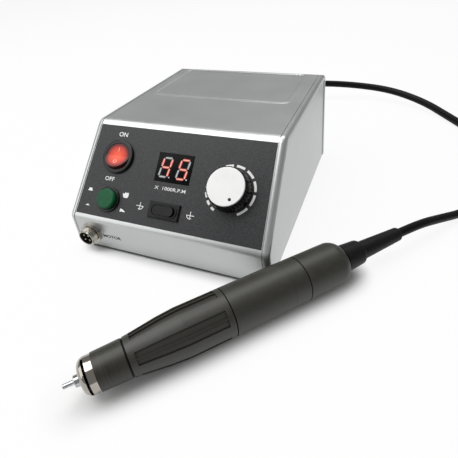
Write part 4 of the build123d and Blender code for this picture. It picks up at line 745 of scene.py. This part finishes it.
# Name, text, u and v of its middle, width, height, and how much bolder than the font it is.
panel_words = [
    ("on", "ON", -43.2, 60.6, 6.8, 3.1, 0.012),
    ("off", "OFF", -45.5, 29.5, 7.4, 2.8, 0.012),
    ("speed", "X  1000R.P.M", 0.3, 28.9, 22.0, 2.2, 0.003),
]
for name, text, u, v, width, height, weight in panel_words:
    place_mesh("legend_" + name, word_mesh(text, width, height, weight), on_film(u, v), white_ink,
               "control_box")

# %% [markdown]
# ## The word by the socket
# The cover's front wall says where the motor plugs in, in black ink. The wall's top leans forward by a
# degree or two, which could be copied here as a number. But it is the solids that know it, so a ray is sent
# at the wall from the front, and where it hits gives both the place and the lean.

# %% A ray at the front wall
IN_FRONT = (-39.3, -20, 12.6)
MOTOR_WIDTH, MOTOR_HEIGHT, MOTOR_WEIGHT = 14.4, 2.6, 0.03


def touch(name, start, way):
    """The place where a ray meets a node, and the way its surface faces there."""
    tree = BVHTree.FromObject(nodes[name], bpy.context.evaluated_depsgraph_get())
    place, facing, _, _ = tree.ray_cast(start, Vector(way))
    return place, facing.normalized()


place, facing = touch("top_cover", bench(*IN_FRONT), (0, 1, 0))
place_mesh("legend_motor", word_mesh("MOTOR", MOTOR_WIDTH, MOTOR_HEIGHT, MOTOR_WEIGHT),
           lying(place + facing * INK / 2 * MM, across, facing.cross(across)), black_ink, "control_box")
print("it stands at", [round(c / MM, 3) for c in place - shift], "facing", [round(c, 4) for c in facing])

# %% [markdown]
# ## Speed scale
# Twelve dashes of white ink run clockwise round the knob, and each is longer than the one before, to show
# that the speed rises. A rule like that is work for Geometry Nodes. The tree puts a thin strip at each of
# twelve points, makes the strips real geometry, and then bends each one along the circle by its number. The
# result is baked to a plain mesh, so that nothing has to be evaluated later.

# %% Strips with a number
STRIP_POINTS = 10


def numbered_strips(tree, dashes):
    """As many unit cubes as there are dashes, all at the origin, each with its number stored on it."""
    line = add_node(tree, "GeometryNodeMeshLine", inputs={"Count": dashes, "Offset": (0, 0, 0)})
    index = add_node(tree, "GeometryNodeInputIndex").outputs[0]
    numbered = add_node(tree, "GeometryNodeStoreNamedAttribute", {"data_type": "FLOAT", "domain": "POINT"}, {
        "Geometry": line.outputs[0], "Name": "dash", "Value": index})
    strip = add_node(tree, "GeometryNodeMeshCube", inputs={"Size": (1, 1, 1), "Vertices X": STRIP_POINTS})
    placed = add_node(tree, "GeometryNodeInstanceOnPoints", inputs={
        "Points": numbered.outputs[0], "Instance": strip.outputs[0]})
    return add_node(tree, "GeometryNodeRealizeInstances", inputs={"Geometry": placed.outputs[0]}).outputs[0]


# %% Bent along the circle
# A strip's x becomes a way along the circle, its y a way across the dash, and its z the ink's thickness.
def bent_places(tree, given):
    """Where each point of a numbered strip goes. The angle is in degrees, clockwise from the top."""
    number = add_node(tree, "GeometryNodeInputNamedAttribute", {"data_type": "FLOAT"}, {
        "Name": "dash"}).outputs[0]
    position = add_node(tree, "GeometryNodeInputPosition").outputs[0]
    x, y, z = add_node(tree, "ShaderNodeSeparateXYZ", inputs={0: position}).outputs
    along = add_node(tree, MATH, {"operation": "ADD"}, {0: x, 1: 0.5}).outputs[0]
    step = add_node(tree, MATH, {"operation": "MULTIPLY_ADD"}, {
        0: number, 1: given["Step Growth"], 2: given["Step"]}).outputs[0]
    length = add_node(tree, MATH, {"operation": "MULTIPLY_ADD"}, {
        0: number, 1: given["Length Growth"], 2: given["Length"]}).outputs[0]
    start = add_node(tree, MATH, {"operation": "MULTIPLY_ADD"}, {
        0: number, 1: step, 2: given["First Angle"]}).outputs[0]
    degrees = add_node(tree, MATH, {"operation": "MULTIPLY_ADD"}, {0: along, 1: length, 2: start}).outputs[0]
    angle = add_node(tree, MATH, {"operation": "RADIANS"}, {0: degrees}).outputs[0]
    radius = add_node(tree, MATH, {"operation": "MULTIPLY_ADD"}, {
        0: y, 1: given["Width"], 2: given["Radius"]}).outputs[0]
    sine = add_node(tree, MATH, {"operation": "SINE"}, {0: angle}).outputs[0]
    cosine = add_node(tree, MATH, {"operation": "COSINE"}, {0: angle}).outputs[0]
    to_right = add_node(tree, MATH, {"operation": "MULTIPLY"}, {0: radius, 1: sine}).outputs[0]
    to_top = add_node(tree, MATH, {"operation": "MULTIPLY"}, {0: radius, 1: cosine}).outputs[0]
    outward = add_node(tree, MATH, {"operation": "MULTIPLY"}, {0: z, 1: given["Thickness"]}).outputs[0]
    return add_node(tree, "ShaderNodeCombineXYZ", inputs={0: to_right, 1: to_top, 2: outward}).outputs[0]


# %% Tree of the scale
scale_values = {
    "Dashes": 12, "Radius": 15.3, "Width": 1.5, "Thickness": INK, "First Angle": 210.0, "Step": 16.2,
    "Step Growth": 0.8, "Length": 9.5, "Length Growth": 1.6,
}


def scale_tree(ink):
    """A node tree that makes dashes round a circle, in millimetres and degrees."""
    tree = bpy.data.node_groups.new("speed_scale", "GeometryNodeTree")
    tree.interface.new_socket("Geometry", in_out="OUTPUT", socket_type="NodeSocketGeometry")
    for name, value in scale_values.items():
        kind = "NodeSocketInt" if isinstance(value, int) else "NodeSocketFloat"
        tree.interface.new_socket(name, in_out="INPUT", socket_type=kind)
    given = tree.nodes.new("NodeGroupInput").outputs
    strips = numbered_strips(tree, given["Dashes"])
    moved = add_node(tree, "GeometryNodeSetPosition", inputs={
        "Geometry": strips, "Position": bent_places(tree, given)})
    inked = add_node(tree, "GeometryNodeSetMaterial", inputs={"Geometry": moved.outputs[0], "Material": ink})
    tree.links.new(inked.outputs[0], tree.nodes.new("NodeGroupOutput").inputs[0])
    return tree


tree = scale_tree(white_ink)
print("the scale's tree has", len(tree.nodes), "nodes")

# %% Dashes of the scale
holder = bpy.data.objects.new("scale_drawing", bpy.data.meshes.new("scale_drawing"))
modifier = holder.modifiers.new("speed_scale", "NODES")
modifier.node_group = tree
for socket in tree.interface.items_tree:
    if socket.in_out == "INPUT":
        modifier[socket.identifier] = scale_values[socket.name]
scale_mesh = plain_mesh(holder)
place_mesh("speed_scale", scale_mesh, on_film(*KNOB_PLACE), white_ink, "control_box")
print(scale_values["Dashes"], "dashes,", len(scale_mesh.polygons), "faces")

# %% [markdown]
# ## Symbols
# Small pictures by the switches say what words would say too long: the green button takes commands from the
# hand or the foot, and the direction switch turns the tool clockwise or anticlockwise. They are printed in
# the same white ink. Each symbol is a few closed outlines, and a line is an outline on both sides of its
# path. Curves could draw the same shapes, but a mesh from outlines has exactly the ink's thickness.

# %% Outlines of ink
def stroke(points, width):
    """The outline of a line of that width along a path."""
    right_side, left_side = [], []
    for i, (x, y) in enumerate(points):
        (ax, ay), (bx, by) = points[max(i - 1, 0)], points[min(i + 1, len(points) - 1)]
        reach = math.hypot(bx - ax, by - ay)
        dx, dy = (bx - ax) / reach * width / 2, (by - ay) / reach * width / 2
        right_side.append((x + dy, y - dx))
        left_side.append((x - dy, y + dx))
    return right_side + left_side[::-1]


def ink_mesh(outlines):
    """Flat shapes of ink, in millimetres, from closed outlines that run anticlockwise."""
    vertices, faces = [], []
    for outline in outlines:
        first, count = len(vertices), len(outline)
        vertices += [(x, y, z) for z in (-INK / 2, INK / 2) for x, y in outline]
        faces.append([first + count + i for i in range(count)])
        faces.append([first + i for i in reversed(range(count))])
        for i in range(count):
            k = (i + 1) % count
            faces.append([first + i, first + k, first + count + k, first + count + i])
    mesh = bpy.data.meshes.new("ink")
    mesh.from_pydata(vertices, [], faces)
    return mesh


# %% An arrow round an axis
LINE, HEAD_REACH = 0.42, 0.8
# Angles of the arrowhead's three corners from the way it points, in radians.
HEAD_CORNERS = (0, 2.2, -2.2)


def turning_symbol(side):
    """An axis line and an arrow that loops round it, to the right or, with side -1, to the left."""
    loop = arc((0.3, -0.1), 1.9, 5, -110)
    tip, before = loop[-1], loop[-3]
    way = math.atan2(tip[1] - before[1], tip[0] - before[0])
    head = [(tip[0] + HEAD_REACH * math.cos(way + a), tip[1] + HEAD_REACH * math.sin(way + a))
            for a in HEAD_CORNERS]
    axis_line = stroke([(-2.7, 0), (2.6, 0)], LINE)
    cross_line = stroke([(0, -2.6), (0, 2.5)], LINE)
    shapes = [axis_line, cross_line, stroke(loop, LINE), head]
    if side < 0:
        shapes = [[(-x, y) for x, y in reversed(shape)] for shape in shapes]
    return shapes


# %% Symbols on the film
button_out = [[(-1.9, -1.0), (1.9, -1.0), (1.9, -0.45), (1.4, -0.45), (1.2, 1.0), (-1.2, 1.0),
               (-1.4, -0.45), (-1.9, -0.45)]]
dome = arc((0, -0.1), 0.8, 20, 160, 7)
button_in = [[(-1.6, -0.4), (1.6, -0.4), (1.6, 0.0), (0.9, 0.0)] + dome + [(-1.6, 0.0)]]
fingers = [point for x in (1.6, 0.55, -0.5) for point in arc((x, 1.2), 0.46, 0, 180, 5)]
hand = [[(-1.4, -1.9), (1.5, -1.9), (2.1, -0.6)] + fingers + [(-1.2, 0.5), (-2.3, 0.9), (-2.5, 0.2)]]
foot = [[(-2.0, -1.0), (-1.1, -1.0), (-0.8, -0.6), (0.6, -1.0), (1.9, -0.9), (2.0, -0.4), (0.9, 0.1),
         (-0.5, 0.9), (-1.9, 1.0)]]
# Each symbol's u and v on the panel, and its outlines.
symbols = {
    "button_out": (-58.5, 20.3, button_out), "button_in": (-57.8, 9.5, button_in),
    "hand": (-30.2, 20.5, hand), "foot": (-30.0, 10.1, foot),
    "turn_right": (-17.9, 15.2, turning_symbol(1)), "turn_left": (18.0, 15.0, turning_symbol(-1)),
}
for name, (u, v, outlines) in symbols.items():
    place_mesh("symbol_" + name, ink_mesh(outlines), on_film(u, v), white_ink, "control_box")

# %% [markdown]
# ## Cores of the display's bars
# A lit bar is palest along its middle, where the light pipe is thickest, and turns deep red to its edge. A
# bar that is off shows its white diffuser the same way. So each bar of the solids gets its edge colour, and
# a narrow strip of the paler one is laid along it, from the same sizes as the bars: seven lines to a digit.
# A colour by distance, like the rocker's, would need a distance for every leaning bar. The two decimal
# points are off and small. The solids have them as lit discs, so a ring of smoked epoxy covers the rim of
# each, and a pale core stays.

# %% The core of a bar
DIGIT_ACROSS, DIGIT_UP, DIGIT_PITCH = 5.9, 12.5, 12.4
DIGIT_LEAN = math.tan(math.radians(8))
CORE_WIDTH, CORE_INSET = 0.8, 0.55
# The bars by their usual letters, from one end to the other, in halves of the digit's width and height.
BAR_ENDS = {
    "a": (-1, 1, 1, 1), "b": (1, 0, 1, 1), "c": (1, -1, 1, 0), "d": (-1, -1, 1, -1), "e": (-1, -1, -1, 0),
    "f": (-1, 0, -1, 1), "g": (-1, 0, 1, 0),
}


def bar_core(digit, name):
    """The strip along the middle of one bar, with digit 0 on the left."""
    halves = (DIGIT_ACROSS / 2, DIGIT_UP / 2) * 2
    ax, ay, bx, by = [share * half for share, half in zip(BAR_ENDS[name], halves)]
    cut = CORE_INSET / math.hypot(bx - ax, by - ay)
    ends = [(ax + (bx - ax) * share, ay + (by - ay) * share) for share in (cut, 1 - cut)]
    middle = (digit - 0.5) * DIGIT_PITCH
    return stroke([(middle + x + DIGIT_LEAN * y, y) for x, y in ends], CORE_WIDTH)


# A light pipe with its lamp on is pale and glows. With its lamp off it is a plain milky white.
lit_core = finish("lit_light_pipe", ("#9F6151", "#A96A59"), (0.3, 0.4), patch=2, grain=0.4, relief=0.004,
                  Emission_Color=linear("#FFC0AC"), Emission_Strength=0.55)
dark_core = finish("unlit_light_pipe", ("#B4B7B8", "#C4C7C8"), (0.3, 0.4), patch=2, grain=0.4, relief=0.004)

# %% Cores and points on the display
DISPLAY_PLACE, BAR_FACE = (0.0, 42.5), 0.1
POINT_PLACE, POINT_CORE, POINT_EDGE = (3.7, -6.2), 0.5, 1.0
# The bars that are lit in the left digit and in the right one.
LIT_BARS = ("bcfg", "acdfg")
on_display = lying(panel(*DISPLAY_PLACE, BAR_FACE + INK / 2), across, up_slope)
decimal_points = [((digit - 0.5) * DIGIT_PITCH + POINT_PLACE[0], POINT_PLACE[1]) for digit in (0, 1)]
rims = [stroke(arc(middle, (POINT_CORE + POINT_EDGE) / 2, start, start + 180), POINT_EDGE - POINT_CORE)
        for middle in decimal_points for start in (0, 180)]
place_mesh("point_rims", ink_mesh(rims), on_display, smoked_epoxy, "control_box")
lit_strips = [bar_core(digit, bar) for digit in (0, 1) for bar in BAR_ENDS if bar in LIT_BARS[digit]]
dark_strips = [bar_core(digit, bar) for digit in (0, 1) for bar in BAR_ENDS if bar not in LIT_BARS[digit]]
dark_strips += [arc(middle, POINT_CORE, 0, 330, 12) for middle in decimal_points]
place_mesh("bar_cores_lit", ink_mesh(lit_strips), on_display, lit_core, "control_box")
place_mesh("bar_cores_dark", ink_mesh(dark_strips), on_display, dark_core, "control_box")
print(len(lit_strips), "cores are lit and", len(dark_strips), "are dark")

# %% [markdown]
# ## Marks on the rocker
# The rocker has its I and O moulded in, in a paler plastic, and they tilt with it. Its face is two flat
# halves that rise from the middle, so each mark is laid on its own half, by the angles the solids have.

# %% I and O
ROCKER_FOOT, ROCKER_MIDDLE, ROCKER_LEAN = 0.6, 1.2, math.radians(10)
MARK_PLACE = 4.4
O_RADIUS, O_LINE = 1.15, 0.45
I_HALF, I_LINE = 1.3, 0.5
# Moulded in: opaque, pink beside the red lens, with its gloss.
lens_mark = finish("moulded_lens_mark", ("#F0A994", "#F6BBA8"), (0.3, 0.4), patch=2, grain=0.3, relief=0.004)
rocker_up = up_slope * math.cos(ROCKER_LEAN) - out_of_slope * math.sin(ROCKER_LEAN)
rocker_out = up_slope * math.sin(ROCKER_LEAN) + out_of_slope * math.cos(ROCKER_LEAN)
ring = [stroke(arc((0, 0), O_RADIUS, start, start + 180), O_LINE) for start in (0, 180)]
bar = [stroke([(0, -I_HALF), (0, I_HALF)], I_LINE)]
rise = ROCKER_MIDDLE + MARK_PLACE * math.tan(ROCKER_LEAN)
for name, side, outlines in (("on", 1, bar), ("off", -1, ring)):
    face_up = rocker_up * math.cos(ROCKER_LEAN) + rocker_out * side * math.sin(ROCKER_LEAN)
    face_out = across.cross(face_up)
    from_foot = rocker_up * side * MARK_PLACE + rocker_out * rise + face_out * INK / 2
    middle = panel(*ROCKER_PLACE, ROCKER_FOOT) + from_foot * MM
    place_mesh("rocker_mark_" + name, ink_mesh(outlines), lying(middle, across, face_up), lens_mark,
               "power_rocker")
    print("its middle is at", [round(c, 4) for c in middle])

# %% [markdown]
# ## Floor
# The product stands on a white table. A plain white sheet would come out grey in this light, and a glowing
# one would show no shadow. So the table throws back only part of the light that falls on it, which keeps
# the object's underside dark. Where the camera, a mirror or clear plastic looks at it, it is paler, and it
# has light of its own that grows with the distance from the box and the handpiece. It reads as white paper,
# and the deep shadow where the object stands is partly painted shadow, fixed on the table. It isn't paler
# under the box, which paints the gap under the box's front edge black as shade.

# %% Table and who looks at it
# Laminate: even and matt, and to the eye white.
table_top = finish("white_laminate", ("#8C8C8C", "#909090"), (0.5, 0.6), patch=30, grain=1, relief=0.005)
tree = table_top.node_tree
light_path = add_node(tree, "ShaderNodeLightPath").outputs
direct = add_node(tree, MATH, {"operation": "ADD"}, {
    0: light_path["Is Camera Ray"], 1: light_path["Is Glossy Ray"]}).outputs[0]
seen = add_node(tree, MATH, {"operation": "ADD", "use_clamp": True}, {
    0: direct, 1: light_path["Is Transmission Ray"]}).outputs[0]
place = add_node(tree, "ShaderNodeTexCoord").outputs["Object"]
print("the table is seen by three kinds of ray")

# %% How far from the box
# The box's footprint is a rectangle, so what counts is how far a place lies outside it each way.
HALF_FOOTPRINT = (59, 87, 0)
PALE_EDGE = 1.2
middle = bench(0, REAR_FACE_Y / 2, 0)
from_middle = add_node(tree, VECTOR_MATH, {"operation": "SUBTRACT"}, {0: place, 1: middle}).outputs[0]
aside = add_node(tree, VECTOR_MATH, {"operation": "ABSOLUTE"}, {0: from_middle}).outputs[0]
beyond = add_node(tree, VECTOR_MATH, {"operation": "SUBTRACT"}, {
    0: aside, 1: Vector(HALF_FOOTPRINT) * MM}).outputs[0]
outside = add_node(tree, VECTOR_MATH, {"operation": "MAXIMUM"}, {0: beyond, 1: (0, 0, 0)}).outputs[0]
from_box = add_node(tree, VECTOR_MATH, {"operation": "LENGTH"}, {0: outside}).outputs["Value"]
# Inside the footprint the table is not made paler, which paints shade into the gap under the box's front
# edge.
uncovered = add_node(tree, MAP_RANGE, inputs={"Value": from_box, "From Max": PALE_EDGE * MM}).outputs[0]
bright = add_node(tree, MATH, {"operation": "MULTIPLY"}, {0: seen, 1: uncovered}).outputs[0]
paint(table_top, bright, "#ECECEC")
print("the footprint is", 2 * HALF_FOOTPRINT[0], "by", 2 * HALF_FOOTPRINT[1], "mm")

# %% How far from the handpiece
# The handpiece's painted shadow follows the line under its axis, so what counts is the nearest place
# on that line.
HANDPIECE_LENGTH = 160.0
under_tip = Vector((TIP.x, TIP.y, 0))
away = add_node(tree, VECTOR_MATH, {"operation": "SUBTRACT"}, {0: place, 1: under_tip}).outputs[0]
run = add_node(tree, VECTOR_MATH, {"operation": "DOT_PRODUCT"}, {0: away, 1: AXIS}).outputs["Value"]
on_line = add_node(tree, "ShaderNodeClamp", inputs={"Value": run, "Max": HANDPIECE_LENGTH * MM}).outputs[0]
nearest = add_node(tree, VECTOR_MATH, {"operation": "SCALE"}, {0: AXIS, "Scale": on_line}).outputs[0]
from_axis = add_node(tree, VECTOR_MATH, {"operation": "DISTANCE"}, {0: away, 1: nearest}).outputs["Value"]
print("the line under the handpiece is", HANDPIECE_LENGTH, "mm long")

# %% The table's own light
# Holding the own light back near the box and the handpiece paints a shadow round them, fixed on the table.
OWN_LIGHT = 0.9
BESIDE_BOX, BOX_SHADE = 1.0, 10.0
UNDER_HANDPIECE, HANDPIECE_SHADE = 6.5, 16.0
shades = []
for far, first, reach in ((from_box, BESIDE_BOX, BOX_SHADE), (from_axis, UNDER_HANDPIECE, HANDPIECE_SHADE)):
    shade = add_node(tree, MAP_RANGE, {"interpolation_type": "SMOOTHSTEP"}, {
        "Value": far, "From Min": first * MM, "From Max": (first + reach) * MM, "To Max": OWN_LIGHT})
    shades.append(shade.outputs[0])
glow = add_node(tree, MATH, {"operation": "MINIMUM"}, {0: shades[0], 1: shades[1]}).outputs[0]
share = add_node(tree, MATH, {"operation": "MULTIPLY"}, {0: seen, 1: glow}).outputs[0]
paper = add_node(tree, "ShaderNodeEmission", inputs={"Color": linear("#FFFFFF"), "Strength": 1.0}).outputs[0]
laminate = tree.nodes["Principled BSDF"].outputs[0]
mix = add_node(tree, "ShaderNodeMixShader", inputs={0: share, 1: laminate, 2: paper})
tree.links.new(mix.outputs[0], tree.nodes["Material Output"].inputs["Surface"])
print("own light up to", OWN_LIGHT)

# %% The sheet itself
FLOOR_REACH = 6.0
corners = [(x * FLOOR_REACH, y * FLOOR_REACH, 0) for x, y in ((-1, -1), (1, -1), (1, 1), (-1, 1))]
floor_mesh = bpy.data.meshes.new("floor")
floor_mesh.from_pydata(corners, [], [(0, 1, 2, 3)])
floor_mesh.materials.append(table_top)
floor = bpy.data.objects.new("floor", floor_mesh)
bpy.context.scene.collection.objects.link(floor)
print("floor reaches", FLOOR_REACH, "m each way")

# %% [markdown]
# ## Sky and lamps
# The studio is white all round. The camera sees a sky of pure white, and the object is lit by a weaker one,
# which fills the shadows evenly. A light path tells the two apart. The main lamp is a wide soft box almost
# overhead, which draws the bright lines along the box's upper edges. One at the back lifts the tops of the
# sleeves, and one at the front left lights the knob and the front.

# %% Sky
SKY = 0.31
world = bpy.data.worlds.new("studio")
world.use_nodes = True
tree = world.node_tree
straight = add_node(tree, "ShaderNodeLightPath").outputs["Is Camera Ray"]
strength = add_node(tree, MAP_RANGE, inputs={"Value": straight, "To Min": SKY, "To Max": 1.0}).outputs[0]
tree.links.new(strength, tree.nodes["Background"].inputs["Strength"])
tree.nodes["Background"].inputs["Color"].default_value = linear("#FFFFFF")
bpy.context.scene.world = world
print("the sky's strength is", SKY)

# %% Lamps
LIT_PLACE = (20, 40, 30)


def add_lamp(name, way, distance, size, watts):
    """A square soft box that looks at the lit place from that way, with metres for distance and size."""
    lamp = bpy.data.lights.new(name, "AREA")
    lamp.size = size
    lamp.energy = watts
    box = bpy.data.objects.new(name, lamp)
    box.location = bench(*LIT_PLACE) + Vector(way).normalized() * distance
    box.rotation_euler = Vector(way).to_track_quat("Z", "Y").to_euler()
    bpy.context.scene.collection.objects.link(box)
    print(name, "size", size, "m,", watts, "W")


add_lamp("soft_box_overhead", (-0.35, -0.05, 0.93), 1.6, 1.3, 18.0)
add_lamp("soft_box_back", (0.05, 0.5, 0.86), 1.6, 0.8, 6.0)
add_lamp("soft_box_front_left", (-0.75, -0.6, 0.45), 1.6, 1.2, 6.5)
